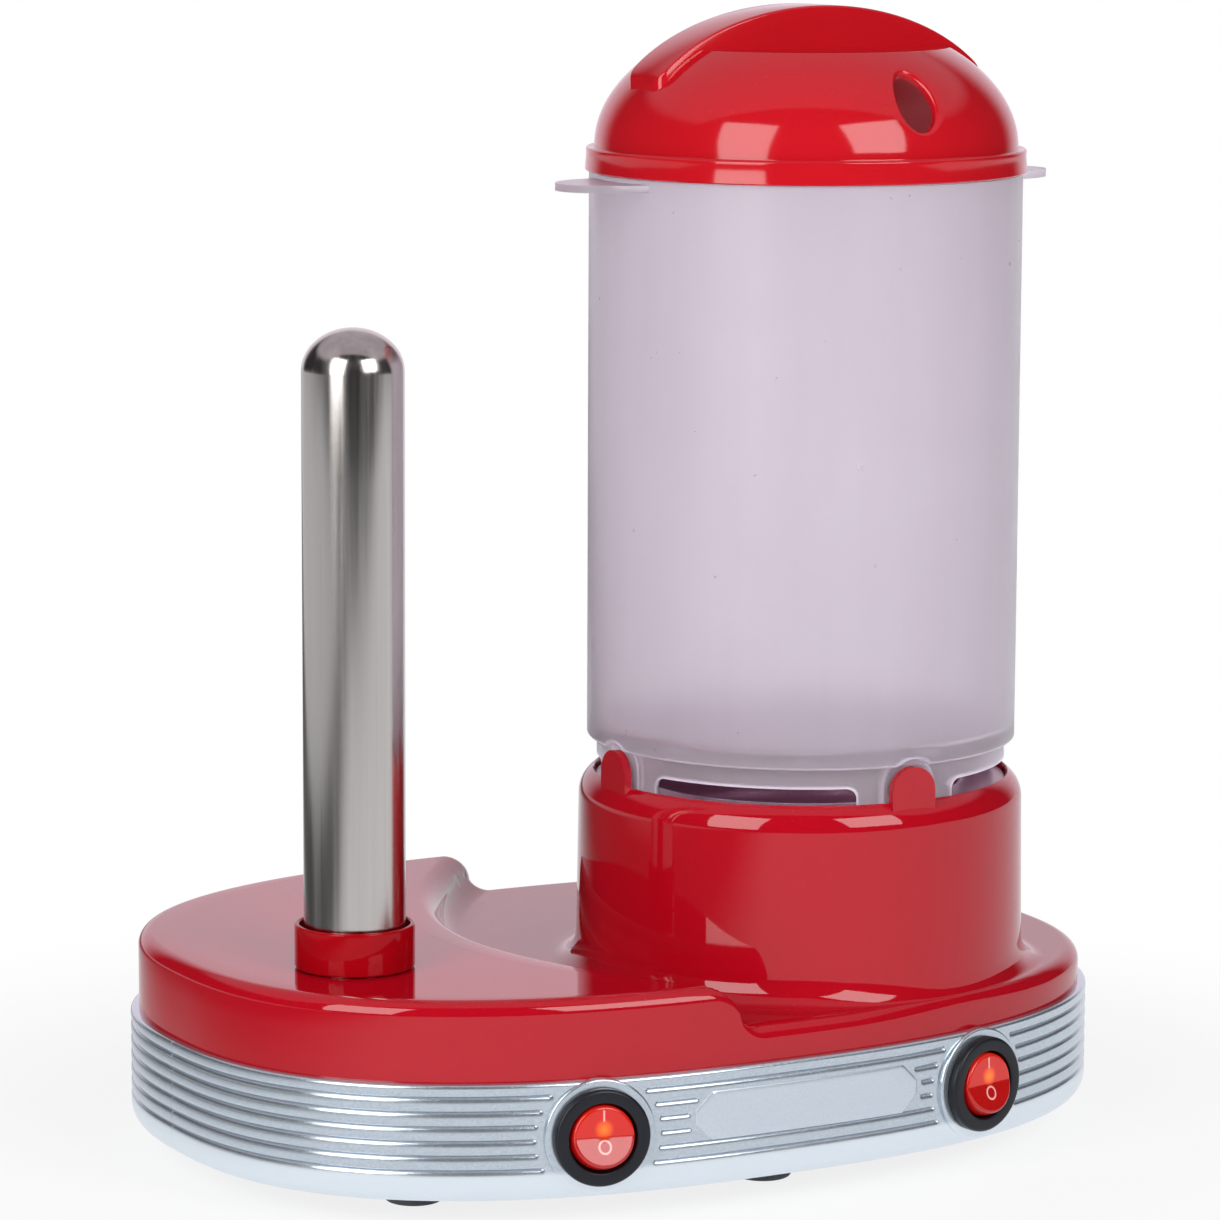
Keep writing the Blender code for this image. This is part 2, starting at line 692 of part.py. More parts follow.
COLLAR_LIP = 0.0012
COLLAR_POCKET = 0.0030


def spike_collar(material):
    """The red ring round the spike's foot, with an open gap at its top."""
    low = DECK_HIGH + CLEARANCE
    bore_radius = SPIKE_RADIUS + CLEARANCE
    lip = COLLAR_RADIUS - COLLAR_LIP
    profile = [(COLLAR_RADIUS - COLLAR_LIP / 3, low), (COLLAR_RADIUS, low + COLLAR_LIP / 3),
               (COLLAR_RADIUS, COLLAR_TOP - COLLAR_LIP / 3), (COLLAR_RADIUS - COLLAR_LIP / 3, COLLAR_TOP),
               (lip, COLLAR_TOP), (lip, COLLAR_TOP - COLLAR_POCKET),
               (bore_radius, COLLAR_TOP - COLLAR_POCKET), (bore_radius, low)]
    ring = turned(profile, AROUND_MEDIUM, (SPIKE_X, TOWER_Y), wrap=True)
    make_object("spike_collar", ring, material, (SPIKE_X, TOWER_Y, low))


INSULATOR_HEIGHT = 0.0070
INSULATOR_WEB = 0.0030
INSULATOR_SINK = 0.0010
ROD_RADIUS = 0.0045


def spike_heater(rod_material, holder_material):
    """A ceramic heating rod on the spike's axis, held by an insulator at each end."""
    place = (SPIKE_X, TOWER_Y)
    fit = SPIKE_RADIUS - SPIKE_METAL - CLEARANCE
    low = spike_flange_top() - SPIKE_METAL + INSULATOR_SINK
    high = SPIKE_TOP - SPIKE_TIP_HEIGHT - INSULATOR_HEIGHT - INSULATOR_SINK
    for name, base, direction in (("spike_insulator_lower", low, 1), ("spike_insulator_upper", high, -1)):
        ends = (base, base + direction * INSULATOR_WEB, base + direction * INSULATOR_HEIGHT)
        hollow = ROD_RADIUS + CLEARANCE
        profile = [(fit, ends[0]), (fit, ends[2]), (hollow, ends[2]), (hollow, ends[1])]
        bm = loft(bmesh.new(), [circle(radius, z, 20, place) for radius, z in profile])
        make_object(name, bm, holder_material, (*place, base))
    rod_low = low + INSULATOR_WEB + CLEARANCE
    rod_high = high - INSULATOR_WEB - CLEARANCE
    make_object("spike_heater_rod", turned([(ROD_RADIUS, rod_low), (ROD_RADIUS, rod_high)], 16, place),
                rod_material, (*place, rod_low))


def spike_screws(material):
    head = spike_flange_top() - SPIKE_METAL - CLEARANCE
    tip = DECK_HIGH - COVER_WALL - SPIKE_BOSS_LENGTH + THREAD_DEPTH - CLEARANCE
    for number, place in enumerate(spike_screw_places(), 1):
        screw(f"spike_screw_{number}", place, head - SCREW_HEAD_HEIGHT, head, tip, material)


def steamer_turned(profile, count, wrap=False):
    return turned(profile, count, (STEAMER_X, TOWER_Y), wrap)


def heating_pan(material):
    """The pressed pan: a wide flat rim, a shallow bowl and a welded stud under it."""
    outer = PEDESTAL_BORE - CLEARANCE
    rim_under = PAN_RIM_TOP - PAN_METAL
    bend = PAN_METAL
    profile = [(STUD_RADIUS, stud_foot()), (STUD_RADIUS, PAN_BOTTOM), (PAN_BOWL_RADIUS - bend, PAN_BOTTOM),
               (PAN_BOWL_RADIUS + bend, PAN_BOTTOM + bend), (PAN_BOWL_RADIUS + bend, rim_under),
               (outer, rim_under), (outer, PAN_RIM_TOP), (PAN_BOWL_RADIUS + bend / 2, PAN_RIM_TOP),
               (PAN_BOWL_RADIUS, PAN_RIM_TOP - bend), (PAN_BOWL_RADIUS, PAN_FLOOR + bend),
               (PAN_BOWL_RADIUS - bend, PAN_FLOOR)]
    make_object("heating_pan", steamer_turned(profile, 32), material, (STEAMER_X, TOWER_Y, PAN_BOTTOM))


STUD_RADIUS = 0.0020
HEATER_TUBE = 0.0031
HEATER_RING = 0.0265
BAR_METAL = 0.0015
BAR_WIDTH = 0.0140
BAR_PLAY = 0.0008
NUT_RADIUS = 0.0039
NUT_HEIGHT = 0.0032


def heater_centre_z():
    return PAN_BOTTOM - CLEARANCE - HEATER_TUBE


def bar_top():
    return heater_centre_z() - HEATER_TUBE - CLEARANCE


def stud_foot():
    return bar_top() - BAR_METAL - NUT_HEIGHT - NUT_HEIGHT / 2


HEATER_GAP_DEGREES = 40
HEATER_LEG = 0.0120


def ring_heater(material):
    """A tubular element bent into an open ring, with both ends turned down."""
    z = heater_centre_z()
    gap = math.radians(HEATER_GAP_DEGREES)
    count = 20
    axis = Vector((STEAMER_X, TOWER_Y, z))
    points = []
    for i in range(count + 1):
        turn = gap / 2 + (2 * math.pi - gap) * i / count
        points.append(axis + Vector((math.cos(turn), math.sin(turn), 0)) * HEATER_RING)
    drop = Vector((0, 0, -HEATER_LEG))
    inset = Vector((HEATER_TUBE, 0, -HEATER_TUBE))
    first, last = points[0] + inset, points[-1] + inset
    make_tube("ring_heater", [first + drop, first] + points + [last, last + drop], HEATER_TUBE, material, 1)


def make_tube(name, points, radius, material, resolution=1):
    curve = bpy.data.curves.new(name, "CURVE")
    curve.dimensions = "3D"
    curve.bevel_depth = radius
    curve.bevel_resolution = resolution
    curve.use_fill_caps = True
    spline = curve.splines.new("POLY")
    spline.points.add(len(points) - 1)
    for target, point in zip(spline.points, points):
        target.co = (*point, 1)
    curve.materials.append(material)
    obj = bpy.data.objects.new(name, curve)
    bpy.context.scene.collection.objects.link(obj)
    return obj


BAR_TURN = math.pi / 2


def pan_bar(material):
    """The steel strap under the heater: its turned-up ends pull on the pedestal's ledge."""
    top = bar_top()
    low = top - BAR_METAL
    reach = PEDESTAL_RADIUS - COVER_WALL - BAR_METAL
    turned_in = PAN_BOWL_RADIUS + PAN_METAL + BAR_PLAY + BAR_METAL
    lip = PAN_SEAT - COVER_WALL - CLEARANCE
    half = [(turned_in, low), (turned_in, lip - BAR_METAL), (reach, lip - BAR_METAL), (reach, lip),
            (turned_in - BAR_METAL, lip), (turned_in - BAR_METAL, top)]
    side = half + [(-x, z) for x, z in reversed(half)]
    frame = Matrix.Translation((STEAMER_X, TOWER_Y, 0)) @ Matrix.Rotation(BAR_TURN, 4, "Z") @ Matrix.Rotation(
        math.pi / 2, 4, "X")
    bar = make_object("pan_bar", prism(side, -BAR_WIDTH / 2, BAR_WIDTH / 2, frame), material)
    cut(bar, bore((STEAMER_X, TOWER_Y), STUD_RADIUS + CLEARANCE, low - OVERRUN, top + OVERRUN))
    return bar


def pan_nut(material):
    top = bar_top() - BAR_METAL - CLEARANCE
    hollow = STUD_RADIUS + CLEARANCE
    rings = []
    for radius, z, count in ((NUT_RADIUS, top - NUT_HEIGHT, 6), (NUT_RADIUS, top, 6)):
        rings.append(circle(radius, z, count, (STEAMER_X, TOWER_Y)))
    nut = make_object("pan_nut", loft(bmesh.new(), rings), material, (STEAMER_X, TOWER_Y, top))
    cut(nut, bore((STEAMER_X, TOWER_Y), hollow, top - NUT_HEIGHT - OVERRUN, top + OVERRUN))


THERMOSTAT_RADIUS = 0.0072
THERMOSTAT_OFFSET = 0.0125


def thermostat(material):
    """The button thermostat, pressed between the pan's bottom and the strap."""
    place = (STEAMER_X, TOWER_Y - THERMOSTAT_OFFSET)
    top = PAN_BOTTOM - CLEARANCE
    low = bar_top() + CLEARANCE
    step = (top - low) / 3
    neck = THERMOSTAT_RADIUS - step / 2
    profile = [(THERMOSTAT_RADIUS, low), (THERMOSTAT_RADIUS, low + step), (neck, low + step), (neck, top)]
    make_object("thermostat", turned(profile, 20, place), material, (*place, top))


FUSE_RADIUS = 0.0020
FUSE_LENGTH = 0.0120


def thermal_fuse(material):
    """The sleeved thermal fuse that lies against the strap's underside."""
    z = bar_top() - BAR_METAL - CLEARANCE - FUSE_RADIUS
    y = TOWER_Y + HEATER_RING
    points = [Vector((STEAMER_X + FUSE_LENGTH * share, y, z)) for share in (-0.5, 0.5)]
    make_tube("thermal_fuse", points, FUSE_RADIUS, material, 1)


RIM_STEP = 0.0011
NECK_DRAFT = 0.0004
HOLE_RADIUS = 0.0025
HOLE_RING = 0.0300
INNER_HOLE_RING = 0.0145
FOOT_EDGE = 0.0008


def steam_container(material):
    """The clear cup: rim step, wall, perforated floor and foot skirt with windows."""
    inner = CONTAINER_RADIUS - CONTAINER_WALL
    neck = CONTAINER_RADIUS - RIM_STEP
    under = FLOOR_TOP - FLOOR_THICKNESS
    skirt_in = SKIRT_RADIUS - SKIRT_WALL
    bend = FLOOR_THICKNESS
    profile = [(skirt_in, under), (skirt_in, SKIRT_FOOT), (SKIRT_RADIUS, SKIRT_FOOT), (SKIRT_RADIUS, under),
               (CONTAINER_RADIUS - FOOT_EDGE, under), (CONTAINER_RADIUS, under + FOOT_EDGE), (CONTAINER_RADIUS, CONTAINER_LEDGE), (neck, CONTAINER_LEDGE),
               (neck, CONTAINER_RIM), (inner - NECK_DRAFT, CONTAINER_RIM), (inner, CONTAINER_LEDGE - bend),
               (inner, FLOOR_TOP)]
    cup = make_object("steam_container", steamer_turned(profile, AROUND_LARGE), material,
                      (STEAMER_X, TOWER_Y, SKIRT_FOOT))
    join(cup, merge(*[ear(turn) for turn in (0, math.pi)]))
    cut(cup, merge(*[niche(turn) for turn in quarter_turns()], *floor_holes()))
    windows = merge(*[window(turn + math.pi / 4) for turn in quarter_turns()])
    boolean(cup, make_object("steam_container_windows", windows, None), "DIFFERENCE")
    return cup


def ear(turn):
    """A flat rounded grip tab under the rim."""
    root = CONTAINER_RADIUS - CONTAINER_WALL + CLEARANCE
    half = EAR_WIDTH / 2
    steps = 12
    outline = [(root, -half), (root + CLEARANCE, -half)]
    for i in range(1, steps):
        t = math.pi * (i / steps - 0.5)
        outline.append((root + CLEARANCE + (EAR_REACH - root) * math.cos(t), half * math.sin(t)))
    outline += [(root + CLEARANCE, half), (root, half)]
    top = CONTAINER_LEDGE - EAR_THICKNESS / 2
    frame = Matrix.Translation((STEAMER_X, TOWER_Y, 0)) @ Matrix.Rotation(turn, 4, "Z")
    return prism(outline, top - EAR_THICKNESS, top, frame)


NICHE_PLAY = 0.0009


def niche(turn):
    """The arched notch that drops over a lug: through the skirt, and into the foot of the wall above it."""
    width = LUG_WIDTH + NICHE_PLAY * 2
    pocket = SKIRT_RADIUS - SKIRT_WALL - CLEARANCE * 2
    depth = CONTAINER_RADIUS + OVERRUN - pocket
    return prism(arch(width, SKIRT_FOOT - OVERRUN, NICHE_TOP), 0, depth, facing(turn, pocket))


def window(turn):
    """One cut through the skirt between two legs, with rounded upper corners."""
    half = SKIRT_RADIUS * math.sin(WINDOW_HALF_ANGLE)
    corner = (WINDOW_TOP - SKIRT_FOOT) / 2
    low = SKIRT_FOOT - OVERRUN
    right = arc((half - corner, WINDOW_TOP - corner), corner, 0, 90, 4)
    left = [(-x, z) for x, z in reversed(right)]
    outline = [(half, low)] + right + left + [(-half, low)]
    near = SKIRT_RADIUS * math.cos(WINDOW_HALF_ANGLE) - SKIRT_WALL * 2
    return prism(outline, 0, SKIRT_RADIUS - near + OVERRUN, facing(turn, near))


def floor_holes():
    places = [(0, 0)]
    for ring, count in ((HOLE_RING, 6), (INNER_HOLE_RING, 3)):
        places += [(ring * math.cos(2 * math.pi * i / count), ring * math.sin(2 * math.pi * i / count))
                   for i in range(count)]
    low, high = FLOOR_TOP - FLOOR_THICKNESS - OVERRUN, FLOOR_TOP + OVERRUN
    return [bore((STEAMER_X + x, TOWER_Y + y), HOLE_RADIUS, low, high, 8) for x, y in places]


def dome_profile(radius, height, top, steps):
    """Points of an elliptical dome above the ridge, cut flat at a height."""
    last = math.asin((top - LID_RIDGE_Z) / height)
    turns = [last * i / steps for i in range(steps + 1)]
    return [(radius * math.cos(t), LID_RIDGE_Z + height * math.sin(t)) for t in turns]


RIDGE = 0.0007


def lid(material):
    """The red lid: skirt, ridge and dome cut flat beside an arched fin that serves as its handle."""
    seat = CONTAINER_RIM + CLEARANCE
    skirt_in = CONTAINER_RADIUS - RIM_STEP + CLEARANCE
    outer = dome_profile(LID_DOME_RADIUS, LID_DOME_HEIGHT, LID_LEDGE_Z, 6)
    inner = dome_profile(LID_DOME_RADIUS - LID_WALL, LID_DOME_HEIGHT - LID_WALL, LID_LEDGE_Z - LID_WALL, 3)
    profile = [point for point in reversed(inner)]
    profile += [(LID_DOME_RADIUS - LID_WALL, seat), (skirt_in, seat), (skirt_in, LID_FOOT),
                (LID_SKIRT_RADIUS, LID_FOOT), (LID_SKIRT_RADIUS - RIDGE, LID_RIDGE_Z - RIDGE),
                (LID_SKIRT_RADIUS - RIDGE, LID_RIDGE_Z - RIDGE / 3),
                (LID_SKIRT_RADIUS - RIDGE * 2, LID_RIDGE_Z)]
    profile += outer
    cap = make_object("lid", steamer_turned(profile, AROUND_LARGE), material, (STEAMER_X, TOWER_Y, LID_FOOT))
    join(cap, fin())
    cut(cap, vent())
    return cap


def fin():
    """The arched handle: a slice of a slightly larger dome, rooted in the shell."""
    steps = 20
    reach = [FIN_HALF_LENGTH * (1 - 2 * i / steps) for i in range(steps + 1)]

    def ellipse(x, grow):
        share = 1 - (x / (LID_DOME_RADIUS + grow)) ** 2
        return LID_RIDGE_Z + (LID_DOME_HEIGHT + grow) * math.sqrt(max(share, 0))

    crest = [(x, ellipse(x, FIN_PROUD)) for x in reach]
    root = [(x, min(ellipse(x, -LID_WALL / 2), LID_LEDGE_Z - LID_WALL / 2)) for x in reversed(reach)]
    frame = Matrix.Translation((STEAMER_X, TOWER_Y, 0)) @ Matrix.Rotation(math.pi / 2, 4, "X")
    return prism(crest + root, -FIN_WIDTH / 2, FIN_WIDTH / 2, frame)


def vent():
    """The oval steam hole in the lid's front, wider at its outer rim."""
    rise = math.asin((VENT_CENTRE_Z - LID_RIDGE_Z) / LID_DOME_HEIGHT)
    reach = LID_DOME_RADIUS * math.cos(rise)
    outward = Vector((0, -math.cos(rise) / LID_DOME_RADIUS, math.sin(rise) / LID_DOME_HEIGHT)).normalized()
    across = Vector((1, 0, 0))
    up = outward.cross(across)
    rings = []
    for depth, grow in ((-LID_WALL * 2, 0), (-VENT_BEVEL, 0), (OVERRUN * 2, VENT_BEVEL * 2 + OVERRUN)):
        turns = [2 * math.pi * i / 24 for i in range(24)]
        centre = Vector((STEAMER_X + VENT_SHIFT, TOWER_Y - reach, VENT_CENTRE_Z)) + outward * depth
        rings.append([centre + across * (VENT_HALF_WIDTH + grow) * math.cos(t)
                      + up * (VENT_HALF_HEIGHT + grow) * math.sin(t) for t in turns])
    return loft(bmesh.new(), rings)


BEZEL_ROUND = 0.0008
POCKET_RADIUS = 0.0082
POCKET_DEPTH = 0.0105
PIVOT_DEPTH = 0.0022
PIN_RADIUS = 0.0011
PIN_REACH = 0.0088
CLIP_REACH = 0.0109
CLIP_HEIGHT = 0.0022
CLIP_LENGTH = 0.0035
ROCKER_SLOPE = 0.14
ROCKER_RISE = 0.0026
ROCKER_BACK = 0.0045


def round_outline(radius, count=12):
    return [(point.x, point.y) for point in circle(radius, 0, count)]


def switch_front():
    """Where the bezel's front face lies, out from the plan."""
    return SWITCH_BOSS_PROUD + CLEARANCE + BEZEL_THICKNESS


def switch_body(name, x, material):
    """The black switch shell: bezel, barrel, snap clips, and a pocket for the rocker."""
    frame = switch_frame(x)
    front = switch_front()
    seat = front - BEZEL_THICKNESS
    back = front - BEZEL_THICKNESS - SWITCH_BODY_DEPTH
    profile = [(SWITCH_BODY_RADIUS, back), (SWITCH_BODY_RADIUS, seat), (BEZEL_RADIUS, seat),
               (BEZEL_RADIUS, front - BEZEL_ROUND), (BEZEL_RADIUS - BEZEL_ROUND, front)]
    body = make_object(name, placed(turned(profile, AROUND_MEDIUM), frame), material, frame.translation)
    behind = BAND_PROUD - BAND_WALL - CLEARANCE * 3
    clips = block((-CLIP_REACH, -CLIP_HEIGHT, behind - CLIP_LENGTH), (CLIP_REACH, CLIP_HEIGHT, behind))
    join(body, placed(clips, frame))
    pocket = turned([(POCKET_RADIUS, front - POCKET_DEPTH), (POCKET_RADIUS, front + OVERRUN)], AROUND_MEDIUM)
    pivot = front - PIVOT_DEPTH
    reach = PIN_REACH + CLEARANCE
    crosswise = Matrix.Translation((0, 0, pivot)) @ Matrix.Rotation(math.pi / 2, 4, "Y")
    pin_hole = prism(round_outline(PIN_RADIUS + CLEARANCE), -reach, reach, crosswise)
    cut(body, placed(pocket, frame))
    pin_object = make_object(name + "_pin_hole", placed(pin_hole, frame), None)
    boolean(body, pin_object, "DIFFERENCE")
    return body


def rocker(name, x, material):
    """A rocker with a shallow V face on two side pins, at rest with its upper half pressed in."""
    frame = switch_frame(x) @ Matrix.Translation((0, 0, switch_front() - PIVOT_DEPTH))
    tilt = Matrix.Rotation(-ROCKER_TILT, 4, "X")
    ball = bmesh.new()
    bmesh.ops.create_uvsphere(ball, u_segments=16, v_segments=10, radius=ROCKER_RADIUS)
    ball.transform(Matrix.Rotation(math.pi / 2, 4, "Y"))
    ball.transform(frame @ tilt)
    piece = make_object(name, ball, material, frame.translation)
    wide = ROCKER_RADIUS + OVERRUN
    rise = ROCKER_RISE + wide * ROCKER_SLOPE
    side = [(-wide, -ROCKER_BACK / 2), (-wide / 2, -ROCKER_BACK), (wide / 2, -ROCKER_BACK),
            (wide, -ROCKER_BACK / 2), (wide, rise), (0, ROCKER_RISE), (-wide, rise)]
    slab = prism([(z, y) for y, z in side], -wide, wide, Matrix.Rotation(-math.pi / 2, 4, "Y"))
    slab.transform(frame @ tilt)
    boolean(piece, make_object(name + "_slab", slab, None), "INTERSECT")
    pin = prism(round_outline(PIN_RADIUS), -PIN_REACH, PIN_REACH, Matrix.Rotation(math.pi / 2, 4, "Y"))
    pin.transform(frame)
    join(piece, pin)
    return piece


TAB_WIDTH = 0.0048
TAB_METAL = 0.0008
TAB_LENGTH = 0.0070
TAB_SPACING = 0.0045


def switch_tabs(side, x, material):
    """Three flat contact tabs that stand out of a switch's back."""
    back = switch_front() - BEZEL_THICKNESS - SWITCH_BODY_DEPTH - CLEARANCE
    frame = switch_frame(x)
    for number, offset in enumerate((-TAB_SPACING, 0, TAB_SPACING), 1):
        tab = block((-TAB_WIDTH / 2, offset - TAB_METAL / 2, back - TAB_LENGTH),
                    (TAB_WIDTH / 2, offset + TAB_METAL / 2, back))
        place = frame @ Vector((0, offset, back))
        make_object(f"switch_tab_{side}_{number}", placed(tab, frame), material, place)


GLAND_SEAT = 0.0035
GLAND_FLANGE = 0.0013


def cord_gland(material):
    """The rubber grommet at the rear left, bored for the mains cord."""
    out = BAND_PROUD + CLEARANCE
    inside = -GLAND_SEAT
    rings = [(CORD_RADIUS, inside - GLAND_FLANGE), (CORD_NECK + CLEARANCE * 2, inside - GLAND_FLANGE),
             (CORD_NECK + CLEARANCE * 3, inside), (CORD_NECK, inside), (CORD_NECK, out), (GLAND_RADIUS, out),
             (GLAND_RADIUS - GLAND_FLANGE / 2, out + GLAND_FLANGE), (CORD_RADIUS, out + GLAND_FLANGE)]
    frame = gland_frame()
    make_object("cord_gland", placed(turned(rings, 16, wrap=True), frame), material, frame.translation)


BLOCK_SIZE = (0.0340, 0.0160, 0.0130)
BLOCK_PLACE = (-0.0300, 0.0300)


BLOCK_EDGE = 0.0008
WELL_RADIUS = 0.0022
WELL_DEPTH = 0.0050
WIRE_RADIUS = 0.0010


def terminal_block(material):
    """The insulated block where the cord's wires meet the internal ones."""
    low = PLATE_TOP + CLEARANCE
    x, y = BLOCK_PLACE
    length, width, height = BLOCK_SIZE
    body = make_object("terminal_block", block((x - length / 2, y - width / 2, low),
                                               (x + length / 2, y + width / 2, low + height)), material)
    bevel = body.modifiers.new("Bevel", "BEVEL")
    bevel.width = BLOCK_EDGE
    bevel.segments = 1
    pitch = length / 3
    wells = [bore((x + pitch * i, y), WELL_RADIUS, low + height - WELL_DEPTH, low + height + OVERRUN, 8)
             for i in (-1, 0, 1)]
    cut(body, merge(*wells))


def wires(material_brown, material_blue, material_white):
    """Insulated leads: terminal block to both switches, and left switch to the spike's heater."""
    x, y = BLOCK_PLACE
    length, width, height = BLOCK_SIZE
    z = PLATE_TOP + height / 2
    front = y - width / 2 - CLEARANCE
    behind = switch_front() - BEZEL_THICKNESS - SWITCH_BODY_DEPTH - TAB_LENGTH - CLEARANCE * 2
    left, right = (switch_frame(place) for place in SWITCH_X)
    rod_foot = spike_flange_top() - SPIKE_METAL + INSULATOR_SINK - CLEARANCE
    routes = (
        ("wire_left_switch", material_brown, (
            (x - length / 3, front, z), (x - length / 3, front - height, z),
            left @ Vector((0, 0, behind - height)), left @ Vector((0, 0, behind)))),
        ("wire_right_switch", material_blue, (
            (x + length / 3, front, z), (x + length / 3, front - height, z),
            right @ Vector((0, 0, behind - height)), right @ Vector((0, 0, behind)))),
        ("wire_spike", material_white, (
            (SPIKE_X, TOWER_Y, rod_foot), (SPIKE_X, TOWER_Y, rod_foot - height),
            left @ Vector((0, -TAB_SPACING, behind - height)), left @ Vector((0, -TAB_SPACING, behind)))),
    )
    for name, material, points in routes:
        make_tube(name, [Vector(point) for point in points], WIRE_RADIUS, material, 0)


def build():
    clear_scene()
    red = make_material("red_gloss_plastic", (0.58, 0.012, 0.022), 0.12)
    red_lid = make_material("red_lid_plastic", (0.60, 0.014, 0.024), 0.14)
    red_collar = make_material("red_collar_plastic", (0.58, 0.010, 0.015), 0.2)
    silver = make_material("silver_paint", (0.56, 0.60, 0.64), 0.28, 0.75)
    steel = make_material("polished_steel", (0.72, 0.71, 0.69), 0.1, 1.0)
    milky = make_material("milky_plastic", (0.80, 0.80, 0.83), 0.3, 0.0, 0.5)
    dark_pan = make_material("nonstick_coating", (0.030, 0.024, 0.032), 0.25, 0.3)
    zinc = make_material("zinc_plated_steel", (0.60, 0.60, 0.58), 0.35, 1.0)
    black = make_material("black_plastic", (0.018, 0.020, 0.024), 0.35)
    rocker_red = make_material("red_rocker_plastic", (0.80, 0.03, 0.02), 0.2)
    rubber = make_material("grey_rubber", (0.07, 0.075, 0.085), 0.7)
    grey = make_material("grey_base_plastic", (0.20, 0.21, 0.23), 0.5)
    ceramic = make_material("ceramic", (0.82, 0.80, 0.74), 0.6)
    heater_metal = make_material("heater_sheath", (0.36, 0.34, 0.33), 0.45, 0.9)
    white_plastic = make_material("white_block_plastic", (0.75, 0.74, 0.70), 0.5)
    brown_wire = make_material("brown_wire_sleeve", (0.16, 0.06, 0.03), 0.5)
    blue_wire = make_material("blue_wire_sleeve", (0.03, 0.09, 0.35), 0.5)
    white_wire = make_material("white_glass_sleeve", (0.78, 0.77, 0.72), 0.8)
    brass = make_material("tin_plated_brass", (0.66, 0.62, 0.50), 0.35, 1.0)

    top_cover(red)
    base_housing(silver)
    base_plate(grey)
    feet(rubber)
    base_screws(zinc)
    spike_tube(steel)
    spike_collar(red_collar)
    spike_heater(heater_metal, ceramic)
    spike_screws(zinc)
    heating_pan(dark_pan)
    ring_heater(heater_metal)
    pan_bar(zinc)
    pan_nut(zinc)
    thermostat(black)
    thermal_fuse(white_wire)
    steam_container(milky)
    lid(red_lid)
    for side, x in zip(("left", "right"), SWITCH_X):
        switch_body(f"switch_body_{side}", x, black)
        rocker(f"rocker_{side}", x, rocker_red)
        switch_tabs(side, x, brass)
    cord_gland(black)
    terminal_block(white_plastic)
    wires(brown_wire, blue_wire, white_wire)


build()
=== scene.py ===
"""Looks of the hot dog maker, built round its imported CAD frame. Metres, +Z up, switches face -Y."""
import math

import bmesh
import bpy
import numpy as np
from mathutils import Matrix, Vector


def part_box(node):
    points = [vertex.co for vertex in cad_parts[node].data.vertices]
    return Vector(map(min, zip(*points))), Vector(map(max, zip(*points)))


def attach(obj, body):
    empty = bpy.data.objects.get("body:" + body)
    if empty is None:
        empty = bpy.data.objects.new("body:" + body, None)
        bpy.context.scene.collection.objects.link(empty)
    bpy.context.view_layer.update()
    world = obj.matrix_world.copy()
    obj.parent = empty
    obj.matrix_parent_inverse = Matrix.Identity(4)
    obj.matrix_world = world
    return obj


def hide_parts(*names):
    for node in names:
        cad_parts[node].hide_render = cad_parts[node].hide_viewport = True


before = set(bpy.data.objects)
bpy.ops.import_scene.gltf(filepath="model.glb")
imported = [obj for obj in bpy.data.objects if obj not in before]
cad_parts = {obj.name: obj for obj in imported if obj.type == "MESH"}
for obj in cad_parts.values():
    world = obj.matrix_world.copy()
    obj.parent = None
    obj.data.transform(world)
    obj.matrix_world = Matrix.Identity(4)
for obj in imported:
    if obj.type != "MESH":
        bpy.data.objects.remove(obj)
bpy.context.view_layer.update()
UP = Vector((0, 0, 1))

# Base plan and decks, as in the part's source
HALF_LENGTH = 0.1184
HALF_WIDTH = 0.0842
PLAN_POWER = 2.47
DECK_HIGH = 0.0541
DECK_LOW = 0.0438
DECK_EDGE = 0.0035
COVER_WALL = 0.0026
COVER_FOOT = 0.0355
STEP_APEX_X = -0.0419
STEP_APEX_Y = -0.0100
STEP_SPAN = 0.0720
STEP_SWEEP = 0.0275
STEP_POWER = 1.85
STEP_RAMP = 0.0105
STEP_ROUNDNESS = 1.7

# Steamer and spike axes
STEAMER = Vector((0.0382, -0.0245))
SPIKE = Vector((-0.0835, -0.0245))

# Pedestal and its four lugs
PEDESTAL_TOP = 0.0914
PEDESTAL_RADIUS = 0.0543
PEDESTAL_DRAFT = 0.0005
PEDESTAL_SHOULDER = 0.0040
SHOULDER_BEND = 0.0073
PEDESTAL_BORE = 0.0505
FILLET_REACH = 0.0060
FILLET_HEIGHT = 0.0068
FILLET_ROWS = 10
PAN_SEAT = 0.0884
PAN_LEDGE = 0.0030
LUG_TOP = 0.0999
LUG_WIDTH = 0.0118
LUG_THICKNESS = 0.0019
LUG_RADIUS = 0.0525
LUG_EDGE = 0.0005

# Silver band
BAND_TOP = 0.0352
BAND_FOOT = 0.0070
BAND_PROUD = 0.0020
BAND_WALL = 0.0025
BAND_ROLL = 0.0043
BAND_ROLL_HEIGHT = 0.0056
BAND_LIP_REACH = 0.0135
BAND_LIP = 0.0020
RIB_PITCH = 0.00345
RIB_DEPTH = 0.0007
RIB_COUNT = 6
TOP_GROOVE_Z = 0.0322
PLATE_X = (-0.0255, 0.0350)
PLATE_Z = (0.0186, 0.0302)
PLATE_CHAMFER = 0.0042
PLATE_PROUD = 0.00025
SEAM_HALF_WIDTH = 0.00030
SEAM_DEPTH = 0.00022

